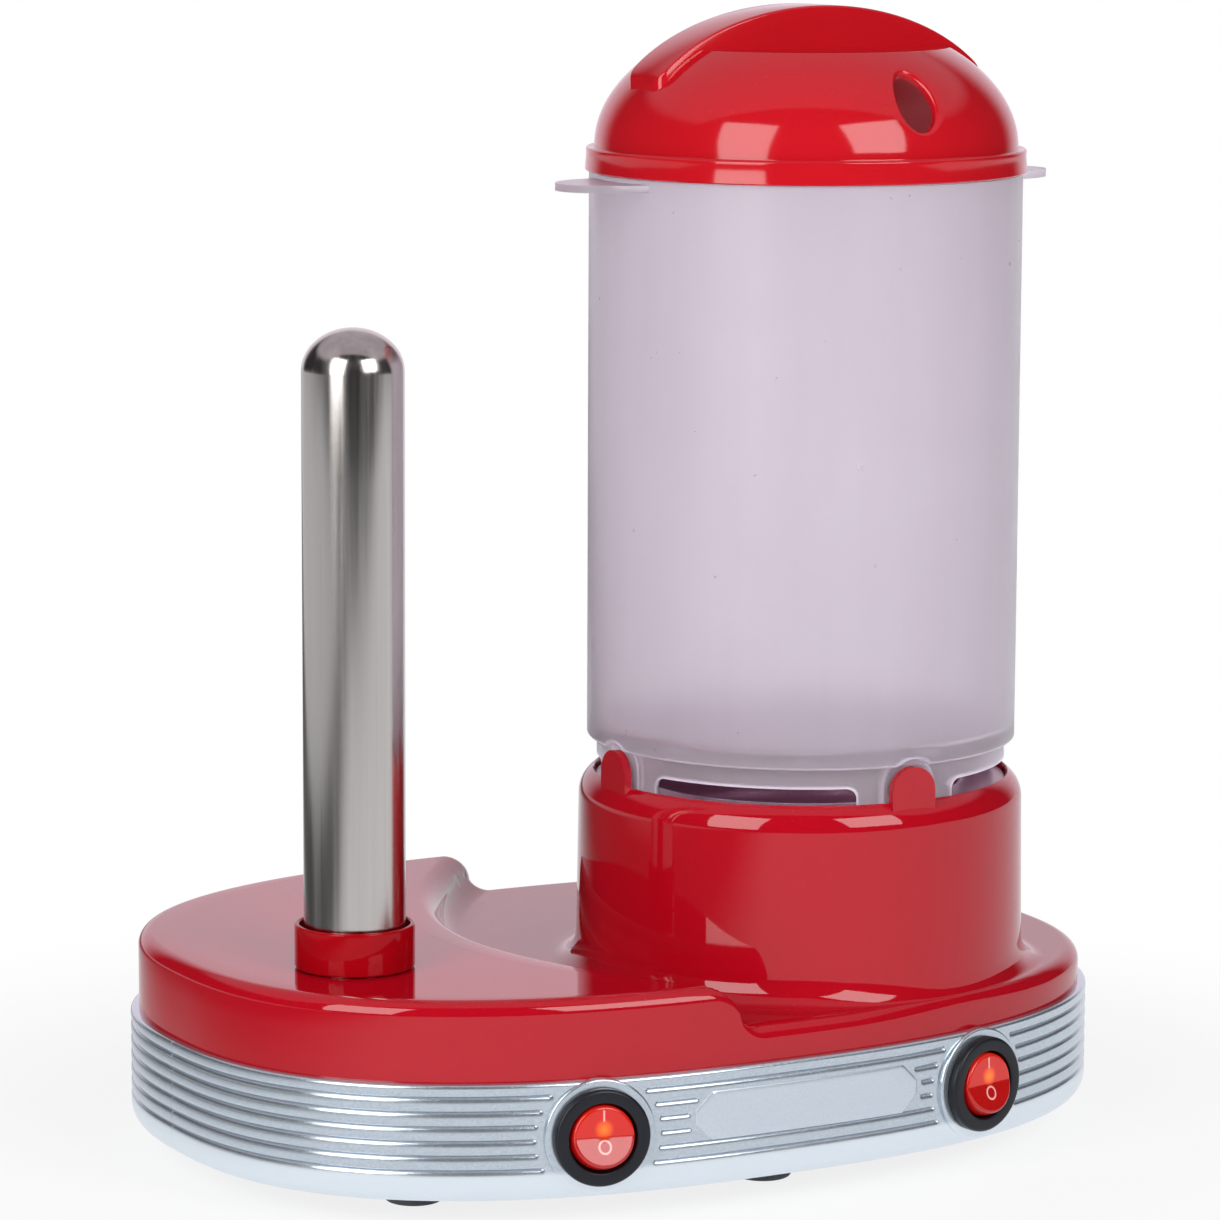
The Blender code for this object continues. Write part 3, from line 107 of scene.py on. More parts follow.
# Switches
SWITCH_X = (-0.0489, 0.0546)
SWITCH_Z = 0.0222
SEAT_RADIUS = 0.0134
SEAT_PROUD = 0.0026
SEAT_EDGE = 0.0005
BEZEL_RADIUS = 0.0115
BEZEL_FRONT = 0.0051
BEZEL_THICKNESS = 0.0022
BEZEL_ROUND = 0.0009
BARREL_RADIUS = 0.0098
BARREL_DEPTH = 0.0150
POCKET_RADIUS = 0.0082
POCKET_DEPTH = 0.0105
PIVOT_DEPTH = 0.0022
ROCKER_RADIUS = 0.0077
ROCKER_RISE = 0.0026
ROCKER_SLOPE = 0.14
ROCKER_BACK = 0.0045
ROCKER_EDGE = 0.0008
ROCKER_TILT = math.radians(10)

# Heating pan, container and lid
PAN_RIM_TOP = 0.0900
PAN_METAL = 0.0013
PAN_BOWL_RADIUS = 0.0385
PAN_DEPTH = 0.0150
STUD_RADIUS = 0.0020
STUD_FOOT = 0.0606
CONTAINER_RADIUS = 0.0523
CONTAINER_WALL = 0.0021
CONTAINER_RIM = 0.2415
CONTAINER_LEDGE = 0.2373
RIM_STEP = 0.0011
FLOOR_TOP = 0.1028
FLOOR_THICKNESS = 0.0028
CUP_FOOT_EDGE = 0.0007
CUT_EDGE = 0.00036
# Width of the painted highlight lines along the cup's cut edges
PAINTED_HIGHLIGHT_WIDTH = 0.00055
HOLE_LIMIT = 0.0460
SKIRT_RADIUS = 0.0499
SKIRT_WALL = 0.0022
SKIRT_FOOT = 0.0903
WINDOW_TOP = 0.0951
WINDOW_HALF_ANGLE = math.radians(29.5)
NICHE_TOP = 0.1018
NICHE_PLAY = 0.0009
EAR_REACH = 0.0670
EAR_WIDTH = 0.0260
EAR_THICKNESS = 0.0018
HOLE_RADIUS = 0.0025
HOLE_RINGS = ((0.0300, 6), (0.0145, 3))
LID_FOOT = 0.2376
LID_SKIRT_RADIUS = 0.0533
LID_RIDGE_Z = 0.2435
LID_DOME_RADIUS = 0.0511
LID_DOME_HEIGHT = 0.0321
LID_WALL = 0.0020
LID_LEDGE_Z = 0.2673
LID_LEDGE_EDGE = 0.0008
FIN_WIDTH = 0.0160
FIN_PROUD = 0.0018
FIN_HALF_LENGTH = 0.0455
FIN_EDGE = 0.0007
FIN_CORNER = 0.0030
VENT_CENTRE_Z = 0.2567
VENT_SHIFT = 0.0019
VENT_HALF = (0.0050, 0.0084)
VENT_EDGE = 0.0011
VENT_FLANGE = 0.0030

# Spike and collar
SPIKE_RADIUS = 0.0120
SPIKE_METAL = 0.0009
SPIKE_TOP = 0.2050
SPIKE_TIP_HEIGHT = 0.0100
SPIKE_FLANGE = 0.0210
SPIKE_FLANGE_Z = 0.0462
COLLAR_RADIUS = 0.0142
COLLAR_TOP = 0.0648
COLLAR_LIP = 0.0012
COLLAR_POCKET = 0.0030
GAP = 0.0003

# Underside and cord entry
FOOT_RADIUS = 0.0070
FOOT_STEM = 0.0021
PLATE_FOOT = 0.0050
GLAND_X = -0.0985
GLAND_Z = 0.0165
GLAND_RADIUS = 0.0058
GLAND_NECK = 0.0044
GLAND_SEAT = 0.0035
GLAND_FLANGE = 0.0013
CORD_RADIUS = 0.0033
SCREW_HEAD_RADIUS = 0.0026
SCREW_HEAD_HEIGHT = 0.0018
SCREW_RADIUS = 0.0012
SCREW_CROSS = (0.0014, 0.00032, 0.0008)


def arc(centre, radius, start, end, steps):
    """Points (across, up) on an arc, angles in degrees, both ends included."""
    turns = np.radians(np.linspace(start, end, steps + 1))
    return [(centre[0] + radius * math.cos(t), centre[1] + radius * math.sin(t)) for t in turns]


def add_object(name, vertices, faces, material, body, slot, smooth=34):
    """A smooth-shaded mesh that rides on a body, with edges sharper than an angle kept crisp."""
    mesh = bpy.data.meshes.new(name)
    mesh.from_pydata([tuple(v) for v in vertices], [], [tuple(f) for f in faces])
    mesh.update()
    return finish_object(name, mesh, material, body, smooth)


def finish_object(name, mesh, material, body, smooth=34):
    mesh.shade_smooth()
    mesh.set_sharp_from_angle(angle=math.radians(smooth))
    mesh.materials.clear()
    mesh.materials.append(material)
    piece = bpy.data.objects.new(name, mesh)
    bpy.context.scene.collection.objects.link(piece)
    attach(piece, body)
    return piece


def skin(grid, wrap=True, offset=0):
    """Quads between rows of points: rows run up the outside, columns run counter-clockwise."""
    rows, columns = grid.shape[:2]
    index = np.arange(rows * columns).reshape(rows, columns) + offset
    if wrap:
        index = np.concatenate([index, index[:, :1]], axis=1)
    low_left, low_right = index[:-1, :-1], index[:-1, 1:]
    high_left, high_right = index[1:, :-1], index[1:, 1:]
    return np.stack([low_left, low_right, high_right, high_left], axis=-1).reshape(-1, 4).tolist()


def turned_grid(profile, count, centre=(0, 0)):
    """Rows of points turned about a vertical axis from (radius, height) pairs."""
    radius, height = np.array(profile, float).T
    turn = np.linspace(0, 2 * math.pi, count, endpoint=False)
    x = centre[0] + radius[:, None] * np.cos(turn)
    y = centre[1] + radius[:, None] * np.sin(turn)
    z = np.repeat(height[:, None], count, axis=1)
    return np.stack([x, y, z], axis=-1)


def turned_shape(profile, count, centre=(0, 0), closed=True):
    """Vertices and faces of a turned piece; closed caps both ends with a flat face."""
    grid = turned_grid(profile, count, centre)
    faces = skin(grid)
    if closed:
        faces.append(list(range(count))[::-1])
        faces.append(list(range(len(profile) * count - count, len(profile) * count)))
    return grid.reshape(-1, 3), faces


def moved(points, matrix):
    return np.asarray(points) @ np.array(matrix.to_3x3()).T + np.array(matrix.translation)


def joined(*shapes):
    """Several (vertices, faces) shapes as one."""
    vertices, faces = [], []
    for points, quads in shapes:
        start = sum(len(v) for v in vertices)
        vertices.append(np.asarray(points))
        faces += [[i + start for i in face] for face in quads]
    return np.concatenate(vertices), faces


def prism(outline, low, high, matrix):
    """A closed extrusion of an (x, y) outline between two heights, placed by a matrix."""
    points = [(x, y, z) for z in (low, high) for x, y in outline]
    count = len(outline)
    grid = np.array(points).reshape(2, count, 3)
    faces = skin(grid) + [list(range(count))[::-1], list(range(count, 2 * count))]
    return moved(points, matrix), faces


def facing(turn, radius, centre=STEAMER):
    """Matrix with +Z outwards from a vertical axis, +Y up, at a distance from the axis."""
    outward = Vector((math.cos(turn), math.sin(turn), 0))
    across = Vector((-math.sin(turn), math.cos(turn), 0))
    place = Vector((*centre, 0)) + outward * radius
    return Matrix.Translation(place) @ Matrix((across, UP, outward)).transposed().to_4x4()


def arch(width, low, high, steps=16):
    radius = width / 2
    return [(radius, low)] + arc((0, high - radius), radius, 0, 180, steps) + [(-radius, low)]


def quarter_turns():
    return [math.pi / 2 * i for i in range(4)]


FINE_STEPS = 24001


def plan_normals(x, y):
    slope = PLAN_POWER - 1
    across = np.sign(x) * np.abs(x / HALF_LENGTH) ** slope / HALF_LENGTH
    along = np.sign(y) * np.abs(y / HALF_WIDTH) ** slope / HALF_WIDTH
    size = np.hypot(across, along)
    return across / size, along / size


def plan_curve(count, crowding):
    """The base plan, counter-clockwise, as x, y and outward x, y; crowding(x, y) packs the points closer."""
    turn = np.linspace(0, 2 * math.pi, FINE_STEPS)
    power = 2 / PLAN_POWER
    x = HALF_LENGTH * np.sign(np.cos(turn)) * np.abs(np.cos(turn)) ** power
    y = HALF_WIDTH * np.sign(np.sin(turn)) * np.abs(np.sin(turn)) ** power
    step = np.hypot(np.diff(x), np.diff(y)) * crowding(x[1:], y[1:])
    along = np.concatenate(([0], np.cumsum(step)))
    at = np.arange(count) * along[-1] / count
    x, y = np.interp(at, along, x), np.interp(at, along, y)
    return (x, y, *plan_normals(x, y))


def plan_frame(x, side, z):
    """Matrix on the plan at a given x, on the +Y or -Y side: +Z outwards, +Y up."""
    y = side * HALF_WIDTH * (1 - abs(x / HALF_LENGTH) ** PLAN_POWER) ** (1 / PLAN_POWER)
    across, along = plan_normals(np.array(x), np.array(y))
    outward = Vector((float(across), float(along), 0))
    turn = Matrix((UP.cross(outward), UP, outward)).transposed().to_4x4()
    return Matrix.Translation((x, y, z)) @ turn


def step_line(y):
    """The middle line of the step between the decks: its x at a given y, and its slope there."""
    share = np.abs(y - STEP_APEX_Y) / STEP_SPAN
    slope = STEP_SWEEP * STEP_POWER * share ** (STEP_POWER - 1) / STEP_SPAN
    return STEP_APEX_X + STEP_SWEEP * share ** STEP_POWER, slope


def raised_share(x, y):
    """0 on the lower deck, 1 on the raised deck, and an S of two roundings across the step."""
    line, slope = step_line(y)
    beyond = (line - x) / np.hypot(1, slope) / STEP_RAMP * 2
    reach = 1 - np.minimum(np.abs(beyond), 1)
    rounding = (1 - reach ** STEP_ROUNDNESS) ** (1 / STEP_ROUNDNESS) / 2
    return 0.5 + np.copysign(rounding, beyond)


def deck_height(x, y):
    return DECK_LOW + (DECK_HIGH - DECK_LOW) * raised_share(x, y)


COVER_COLUMNS = 460
STEP_CROWDING = 4
RAY_SAMPLES = 900
FLAT_ROWS = 9
RAMP_ROWS = 30
OUTER_ROWS = 12
EDGE_ROWS = 9
MIN_RUN = 0.0004


def first_above(shares, distances, level):
    """The first distance in each column at which the share passes a level, else the last distance."""
    above = shares > level
    found = above.any(axis=0)
    row = np.where(found, above.argmax(axis=0), len(distances) - 1)
    return distances[row, np.arange(distances.shape[1])]


def cover_grid():
    """Rows of the red cover: up the wall, in over the decks and the step, up the pedestal, down its bore."""
    def crowding(x, y):
        return np.where(np.abs(x - step_line(y)[0]) < STEP_RAMP * 1.2, STEP_CROWDING, 1)

    px, py, nx, ny = plan_curve(COVER_COLUMNS, crowding)
    dx, dy = px - STEAMER.x, py - STEAMER.y
    length = np.hypot(dx, dy)
    wx, wy = dx / length, dy / length
    cosine = wx * nx + wy * ny
    wall = PEDESTAL_RADIUS + PEDESTAL_DRAFT
    reach = np.minimum(FILLET_REACH, (length - wall) * 0.46)
    foot = wall + reach
    edge = length - np.minimum(DECK_EDGE / cosine, (length - foot) * 0.92)

    def place(distance, drop=0.0):
        x, y = STEAMER.x + wx * distance, STEAMER.y + wy * distance
        return np.stack([x, y, deck_height(x, y) - drop], axis=-1)

    samples = foot + (edge - foot) * np.linspace(0, 1, RAY_SAMPLES)[:, None]
    shares = raised_share(STEAMER.x + wx * samples, STEAMER.y + wy * samples)
    room = edge - foot
    toe = np.clip(first_above(shares, samples, 0.0005), foot + MIN_RUN, edge - room * 0.2)
    crest = np.clip(first_above(shares, samples, 0.9995), toe + MIN_RUN, edge - room * 0.08)
    crest = np.maximum(crest, toe + (edge - toe) * 0.3 * (crest <= toe + MIN_RUN))

    rows = [np.stack([px - nx * COVER_WALL, py - ny * COVER_WALL, np.full_like(px, COVER_FOOT)], axis=-1),
            np.stack([px, py, np.full_like(px, BAND_TOP + GAP / 10)], axis=-1)]
    top = deck_height(px, py)
    for share in (0.35, 0.7):
        rows.append(np.stack([px, py, COVER_FOOT + (top - DECK_EDGE - COVER_FOOT) * share], axis=-1))
    for i in range(EDGE_ROWS + 1):
        angle = math.pi / 2 * (1 - i / EDGE_ROWS)
        inward = (1 - math.sin(angle)) * (length - edge)
        rows.append(place(length - inward, DECK_EDGE * (1 - math.cos(angle))))
    for share in np.linspace(0, 1, OUTER_ROWS + 1)[1:]:
        rows.append(place(edge + (crest - edge) * share))
    for share in np.linspace(-1, 1, RAMP_ROWS + 1)[1:]:
        steep = math.copysign(abs(share) ** 1.7, share) / 2 + 0.5
        rows.append(place(crest + (toe - crest) * steep))
    for share in np.linspace(0, 1, FLAT_ROWS + 1)[1:]:
        rows.append(place(toe + (foot - toe) * share))
    floor = rows[-1][:, 2]
    for i in range(1, FILLET_ROWS + 1):
        angle = math.pi / 2 * i / FILLET_ROWS
        radius = foot - reach * math.sin(angle)
        ring = np.stack([STEAMER.x + wx * radius, STEAMER.y + wy * radius,
                         floor + FILLET_HEIGHT * (1 - math.cos(angle))], axis=-1)
        rows.append(ring)
    end = math.acos(1 - (PEDESTAL_RADIUS - PEDESTAL_BORE - GAP) / SHOULDER_BEND)
    shoulder = arc((PEDESTAL_RADIUS - SHOULDER_BEND, PEDESTAL_TOP - SHOULDER_BEND * math.sin(end)),
                   SHOULDER_BEND, 0, math.degrees(end), 12)[:-1]
    inside = [(PEDESTAL_BORE + GAP, PEDESTAL_TOP), (PEDESTAL_BORE, PEDESTAL_TOP - GAP), (PEDESTAL_BORE, PAN_SEAT),
              (PEDESTAL_BORE - PAN_LEDGE, PAN_SEAT), (PEDESTAL_BORE - PAN_LEDGE, PAN_SEAT - COVER_WALL),
              (PEDESTAL_RADIUS - COVER_WALL, PAN_SEAT - COVER_WALL),
              (PEDESTAL_RADIUS - COVER_WALL, DECK_LOW - COVER_WALL)]
    for radius, z in shoulder + inside:
        rows.append(np.stack([STEAMER.x + wx * radius, STEAMER.y + wy * radius, np.full_like(wx, z)], axis=-1))
    return np.stack(rows)


def top_cover(material):
    grid = cover_grid()
    cover = add_object("cover", grid.reshape(-1, 3), skin(grid), material, "base", "red_gloss_plastic")
    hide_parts("top_cover")
    low = PEDESTAL_TOP - PEDESTAL_SHOULDER + GAP
    for number, turn in enumerate(quarter_turns(), 1):
        shape = prism(arch(LUG_WIDTH, low, LUG_TOP), -LUG_THICKNESS, 0, facing(turn, LUG_RADIUS))
        bevelled(f"pedestal_lug_{number}", shape, LUG_EDGE, material, "base")


def bevelled(name, shape, width, material, body):
    """A closed shape with all its sharp edges rounded off."""
    points, faces = shape
    bm = bmesh.new()
    corners = [bm.verts.new(p) for p in points]
    for face in faces:
        bm.faces.new([corners[i] for i in face])
    sharp = [edge for edge in bm.edges if edge.calc_face_angle(0) > math.radians(40)]
    bmesh.ops.bevel(bm, geom=sharp, offset=width, segments=3, profile=0.5, affect="EDGES")
    bmesh.ops.recalc_face_normals(bm, faces=bm.faces)
    mesh = bpy.data.meshes.new(name)
    bm.to_mesh(mesh)
    bm.free()
    return finish_object(name, mesh, material, body)


BAND_COLUMNS = 1050
LAND_ROWS = (0.0, 0.05, 0.10, 0.16, 0.24, 0.36, 0.52, 0.75, 1.0)
ROLL_ROWS = 10
RIB_END = 0.0020
RIB_CROWN = 0.40
GROOVE_SHARPNESS = 8
HOLE_DEPTH = 0.0050


def soft_step(value, low, high):
    share = np.clip((value - low) / (high - low), 0, 1)
    return share * share * (3 - 2 * share)


def panel_distance(x, z):
    """Distance outside the outline of the bare panel, whose corners are cut off; negative inside."""
    middle, half = (PLATE_X[0] + PLATE_X[1]) / 2, (PLATE_X[1] - PLATE_X[0]) / 2
    height, rise = (PLATE_Z[0] + PLATE_Z[1]) / 2, (PLATE_Z[1] - PLATE_Z[0]) / 2
    across, up = np.abs(x - middle) - half, np.abs(z - height) - rise
    corner = (across + up + PLATE_CHAMFER) / math.sqrt(2)
    return np.maximum(np.maximum(across, up), corner)


def seat_distance(x, y, z):
    """Distance on the wall from the nearer switch axis."""
    nearest = np.full(np.broadcast(x, z).shape, 1.0)
    for place in SWITCH_X:
        origin = plan_frame(place, -1, SWITCH_Z).translation
        nearest = np.minimum(nearest, np.sqrt((x - origin.x) ** 2 + (y - origin.y) ** 2 + (z - origin.z) ** 2))
    return nearest


def groove_depth(x, y, z):
    """How deep the ribbing lies: lands crowned across their width, narrow grooves between, rounded groove ends."""
    lowest = TOP_GROOVE_Z - RIB_PITCH * (RIB_COUNT - 1)
    nearest = np.clip(np.round((z - lowest) / RIB_PITCH), 0, RIB_COUNT - 1)
    line = lowest + nearest * RIB_PITCH
    stop = np.maximum(SEAT_RADIUS + RIB_END - seat_distance(x, y, line), 0)
    panel = np.maximum(RIB_END - np.maximum(panel_distance(x, line), 0), 0)
    stop = np.maximum(stop, np.where((y < 0) & (np.abs(line - sum(PLATE_Z) / 2) < RIB_PITCH * 1.4), panel, 0))
    crown = np.clip(1 - np.hypot(z - line, stop) / (RIB_PITCH / 2), 0, 1)
    return RIB_DEPTH * (RIB_CROWN * crown ** 2 + (1 - RIB_CROWN) * crown ** GROOVE_SHARPNESS)


def band_grid():
    def crowding(x, y):
        front = y < 0
        ends = (np.abs(x - PLATE_X[0]) < 0.006) | (np.abs(x - PLATE_X[1]) < 0.006)
        seats = (np.abs(x - SWITCH_X[0]) < 0.017) | (np.abs(x - SWITCH_X[1]) < 0.017)
        seam = (x < 0) & (np.abs(y + 0.001) < 0.0014)
        return np.where(seam, 9, np.where(front & (ends | seats), 4.5, 1))

    px, py, nx, ny = plan_curve(BAND_COLUMNS, crowding)
    roll = [(BAND_FOOT + BAND_ROLL_HEIGHT * (1 - math.cos(t)), -BAND_ROLL * (1 - math.sin(t)))
            for t in np.linspace(0, math.pi / 2, ROLL_ROWS + 1)]
    start = roll[-1][0]
    grooves = [TOP_GROOVE_Z - RIB_PITCH * i for i in range(RIB_COUNT)]
    ribs = sorted({round(z + side * share * RIB_PITCH / 2, 7) for z in grooves for share in LAND_ROWS for side in (-1, 1)})
    ribs = [z for z in ribs if z > start + GAP / 2]
    rows = [(BAND_FOOT + BAND_LIP, None, -BAND_LIP_REACH), (BAND_FOOT, None, -BAND_LIP_REACH)]
    rows += [(z, None, BAND_PROUD + drop) for z, drop in roll]
    rows += [(z, "ribs", BAND_PROUD) for z in ribs]
    rows += [(z, None, offset) for offset, z in arc((BAND_PROUD - 0.0009, BAND_TOP - 0.0009), 0.0009, 0, 90, 5)]
    rows += [(BAND_TOP, None, BAND_PROUD - BAND_WALL), (BAND_FOOT + BAND_ROLL, None, BAND_PROUD - BAND_WALL)]
    grid = []
    for z, kind, offset in rows:
        out = np.full_like(px, offset)
        if kind:
            out = out - groove_depth(px, py, np.array(z))
        seam = (px < 0) * soft_step(SEAM_HALF_WIDTH - np.abs(py + 0.001), 0, SEAM_HALF_WIDTH)
        out = out - SEAM_DEPTH * seam * (offset > 0)
        grid.append(np.stack([px + nx * out, py + ny * out, np.full_like(px, z)], axis=-1))
    return np.stack(grid)


def silver_band(material):
    """The ribbed band: a closed skin with a round hole cut through it for each switch, and a raised seat round it."""
    grid = band_grid()
    rows, count = grid.shape[:2]
    last = (rows - 1) * count
    lip = [[last + i, last + (i + 1) % count, (i + 1) % count, i] for i in range(count)]
    holes, seats = [], []
    bore = BARREL_RADIUS + GAP * 3
    for x in SWITCH_X:
        place = plan_frame(x, -1, SWITCH_Z)
        points, faces = turned_shape([(0.0010, -HOLE_DEPTH), (bore, -HOLE_DEPTH), (bore, HOLE_DEPTH),
                                      (0.0010, HOLE_DEPTH)], 96)
        holes.append((moved(points, place), faces))
        profile = [(SEAT_RADIUS, 0.0006)]
        profile += arc((SEAT_RADIUS - SEAT_EDGE, SEAT_PROUD - SEAT_EDGE), SEAT_EDGE, 0, 90, 6)
        profile += [(BARREL_RADIUS + GAP, SEAT_PROUD), (BARREL_RADIUS + GAP, -0.0010)]
        points, faces = turned_shape(profile + profile[:1], 96, closed=False)
        seats.append((moved(points, place), faces))
    mesh = shaped((grid.reshape(-1, 3), skin(grid) + lip), [("DIFFERENCE", joined(*holes))])
    bm = bmesh.new()
    bm.from_mesh(mesh)
    for points, faces in seats:
        corners = [bm.verts.new(point) for point in points]
        for face in faces:
            bm.faces.new([corners[i] for i in face])
        bmesh.ops.remove_doubles(bm, verts=corners, dist=GAP / 100)
    bm.to_mesh(mesh)
    bm.free()
    band = finish_object("silver_band", mesh, material, "base", 50)
    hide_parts("base_housing")


PANEL_STATIONS = 40


def bare_panel(material):
    """The smooth panel between the switches: an eight-sided plate on the wall, with a rounded rim."""
    half = (PLATE_X[1] - PLATE_X[0]) / 2
    rise = (PLATE_Z[1] - PLATE_Z[0]) / 2
    middle, height = sum(PLATE_X) / 2, sum(PLATE_Z) / 2
    straight = np.linspace(-1, 1, PANEL_STATIONS)
    slanted = np.linspace(0, 1, 8)[1:-1]
    top = [(x, rise) for x in straight[::-1] * (half - PLATE_CHAMFER)]
    left = [(-half + PLATE_CHAMFER * (1 - t), rise - PLATE_CHAMFER * t) for t in slanted]
    side = [(-half, z) for z in np.linspace(1, -1, 8) * (rise - PLATE_CHAMFER)]
    upper = top + left + side[:4]
    outline = np.array(upper + [(-x, -z) for x, z in upper])
    start = np.array([(half, z) for z in np.linspace(0, 1, 5)[1:] * (rise - PLATE_CHAMFER)]
                     + [(half - PLATE_CHAMFER * t, rise - PLATE_CHAMFER * (1 - t)) for t in slanted])
    outline = np.concatenate([start, outline[:len(upper)], -start, outline[len(upper):]])
    rows = []
    edge = PLATE_PROUD
    rings = [(0, -0.0006), (0, 0.0)] + [(edge * (1 - math.cos(t)), edge * math.sin(t)) for t in np.radians((25, 50, 90))]
    rings += [(0.0012, edge)]
    for inset, out in rings:
        rows.append((outline * (1 - inset / rise), out))
    rows += [(outline * share, edge) for share in (0.55, 0.25, 0.02)]
    grid = []
    for points, out in rows:
        x = middle + points[:, 0]
        y = -HALF_WIDTH * (1 - np.abs(x / HALF_LENGTH) ** PLAN_POWER) ** (1 / PLAN_POWER)
        across, along = plan_normals(x, y)
        reach = BAND_PROUD + out
        grid.append(np.stack([x + across * reach, y + along * reach, height + points[:, 1]], axis=-1))
    grid = np.stack(grid)
    count = len(outline)
    faces = skin(grid) + [list(range(grid.size // 3 - count, grid.size // 3))]
    add_object("bare_panel", grid.reshape(-1, 3), faces, material, "base", "silver_paint", 40)


def switch_body(side, x, material):
    """The black shell of a switch: flat bezel with a rounded rim, deep round pocket, barrel behind."""
    seat = BEZEL_FRONT - BEZEL_THICKNESS
    profile = [(BARREL_RADIUS, seat - BARREL_DEPTH), (BARREL_RADIUS, seat), (BEZEL_RADIUS - GAP, seat)]
    profile += [(BEZEL_RADIUS, seat + GAP)]
    profile += arc((BEZEL_RADIUS - BEZEL_ROUND, BEZEL_FRONT - BEZEL_ROUND), BEZEL_ROUND, 0, 90, 6)
    profile += arc((POCKET_RADIUS + BEZEL_ROUND / 2, BEZEL_FRONT - BEZEL_ROUND / 2), BEZEL_ROUND / 2, 90, 180, 4)
    profile += [(POCKET_RADIUS, BEZEL_FRONT - POCKET_DEPTH)]
    points, faces = turned_shape(profile, 96)
    points = moved(points, plan_frame(x, -1, SWITCH_Z))
    body = add_object(f"switch_shell_{side}", points, faces, material, "base", "black_plastic")
    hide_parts(f"switch_body_{side}")


CREASE_CLUSTER = (0.0, 0.6, 1.6, 3.2, 5.5)
CREASE_SOFTNESS = 0.00016


def rocker_turns():
    """Angles round the rocker in degrees, packed close to the crease at 0 and 180."""
    half = list(CREASE_CLUSTER) + list(np.linspace(9, 171, 40)) + [180 - a for a in reversed(CREASE_CLUSTER)]
    return np.radians(half[:-1] + [a + 180 for a in half[:-1]])


def rocker(side, x, material):
    """A round rocker with a shallow V across its face, built about its pivot and tilted as it rests."""
    turn = rocker_turns()
    edge = ROCKER_EDGE
    profile = [(ROCKER_RADIUS * 0.80, -ROCKER_BACK), (ROCKER_RADIUS * 0.97, -ROCKER_BACK * 0.4), (ROCKER_RADIUS, 0)]
    rows = [np.stack([r * np.cos(turn), r * np.sin(turn), np.full_like(turn, z)], axis=-1) for r, z in profile]

    def height(radius):
        away = np.sqrt((radius * np.sin(turn)) ** 2 + CREASE_SOFTNESS ** 2)
        return ROCKER_RISE + away * ROCKER_SLOPE

    outer = np.full_like(turn, ROCKER_RADIUS)
    for _ in range(6):
        outer = np.sqrt(ROCKER_RADIUS ** 2 - (height(outer) - edge) ** 2)
    for share in (0.35, 0.7):
        z = (height(outer) - edge) * share
        radius = np.sqrt(ROCKER_RADIUS ** 2 - z ** 2)
        rows.append(np.stack([radius * np.cos(turn), radius * np.sin(turn), z], axis=-1))
    for angle in np.radians(np.linspace(10, 90, 7)):
        radius = outer - edge * (1 - math.cos(angle))
        rows.append(np.stack([radius * np.cos(turn), radius * np.sin(turn),
                              height(radius) - edge * (1 - math.sin(angle))], axis=-1))
    for share in (0.90, 0.8, 0.66, 0.52, 0.38, 0.24, 0.1):
        radius = outer * share
        rows.append(np.stack([radius * np.cos(turn), radius * np.sin(turn), height(radius)], axis=-1))
    grid = np.stack(rows)
    count = len(turn)
    faces = skin(grid) + [list(range(count))[::-1], list(range(grid.size // 3 - count, grid.size // 3))]
    place = plan_frame(x, -1, SWITCH_Z) @ Matrix.Translation((0, 0, BEZEL_FRONT - PIVOT_DEPTH))
    place = place @ Matrix.Rotation(-ROCKER_TILT, 4, "X")
    own = grid.reshape(-1, 3)
    piece = add_object(f"rocker_cap_{side}", moved(own, place), faces, material, f"rocker_{side}",
                       "red_rocker_plastic", 60)
    kept = piece.data.attributes.new("rocker_place", "FLOAT_VECTOR", "POINT")
    kept.data.foreach_set("vector", own.astype(np.float32).ravel())
    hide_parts(f"rocker_{side}")


def spike_tube(material):
    straight = SPIKE_TOP - SPIKE_TIP_HEIGHT
    inner = SPIKE_RADIUS - SPIKE_METAL
    profile = [(inner, straight), (inner, SPIKE_FLANGE_Z - SPIKE_METAL), (SPIKE_FLANGE, SPIKE_FLANGE_Z - SPIKE_METAL),
               (SPIKE_FLANGE, SPIKE_FLANGE_Z), (SPIKE_RADIUS + GAP, SPIKE_FLANGE_Z),
               (SPIKE_RADIUS, SPIKE_FLANGE_Z + GAP)]
    profile += [(SPIKE_RADIUS, SPIKE_FLANGE_Z + (straight - SPIKE_FLANGE_Z) * i / 6) for i in range(1, 6)]
    profile += [(SPIKE_RADIUS * math.cos(t), straight + SPIKE_TIP_HEIGHT * math.sin(t))
                for t in np.radians(np.linspace(0, 88.5, 16))]
    points, faces = turned_shape(profile, 96, SPIKE)
    tube = add_object("spike_sleeve", points, faces, material, "base", "polished_steel")
    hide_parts("spike_tube")


def spike_collar(material):
    low = DECK_HIGH + GAP
    bore = SPIKE_RADIUS + GAP
    lip = COLLAR_RADIUS - COLLAR_LIP
    round_edge = COLLAR_LIP * 0.42
    profile = [(bore, COLLAR_TOP - COLLAR_POCKET), (bore, low), (COLLAR_RADIUS - GAP * 2, low)]
    profile += arc((COLLAR_RADIUS - GAP * 2, low + GAP * 2), GAP * 2, -90, 0, 4)
    profile += arc((COLLAR_RADIUS - round_edge, COLLAR_TOP - round_edge), round_edge, 0, 90, 5)
    profile += arc((lip + round_edge, COLLAR_TOP - round_edge), round_edge, 90, 180, 5)
    profile += [(lip, COLLAR_TOP - COLLAR_POCKET), (bore, COLLAR_TOP - COLLAR_POCKET)]
    points, faces = turned_shape(profile, 112, SPIKE, closed=False)
    collar = add_object("spike_foot_ring", points, faces, material, "base", "red_collar_plastic")
    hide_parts("spike_collar")


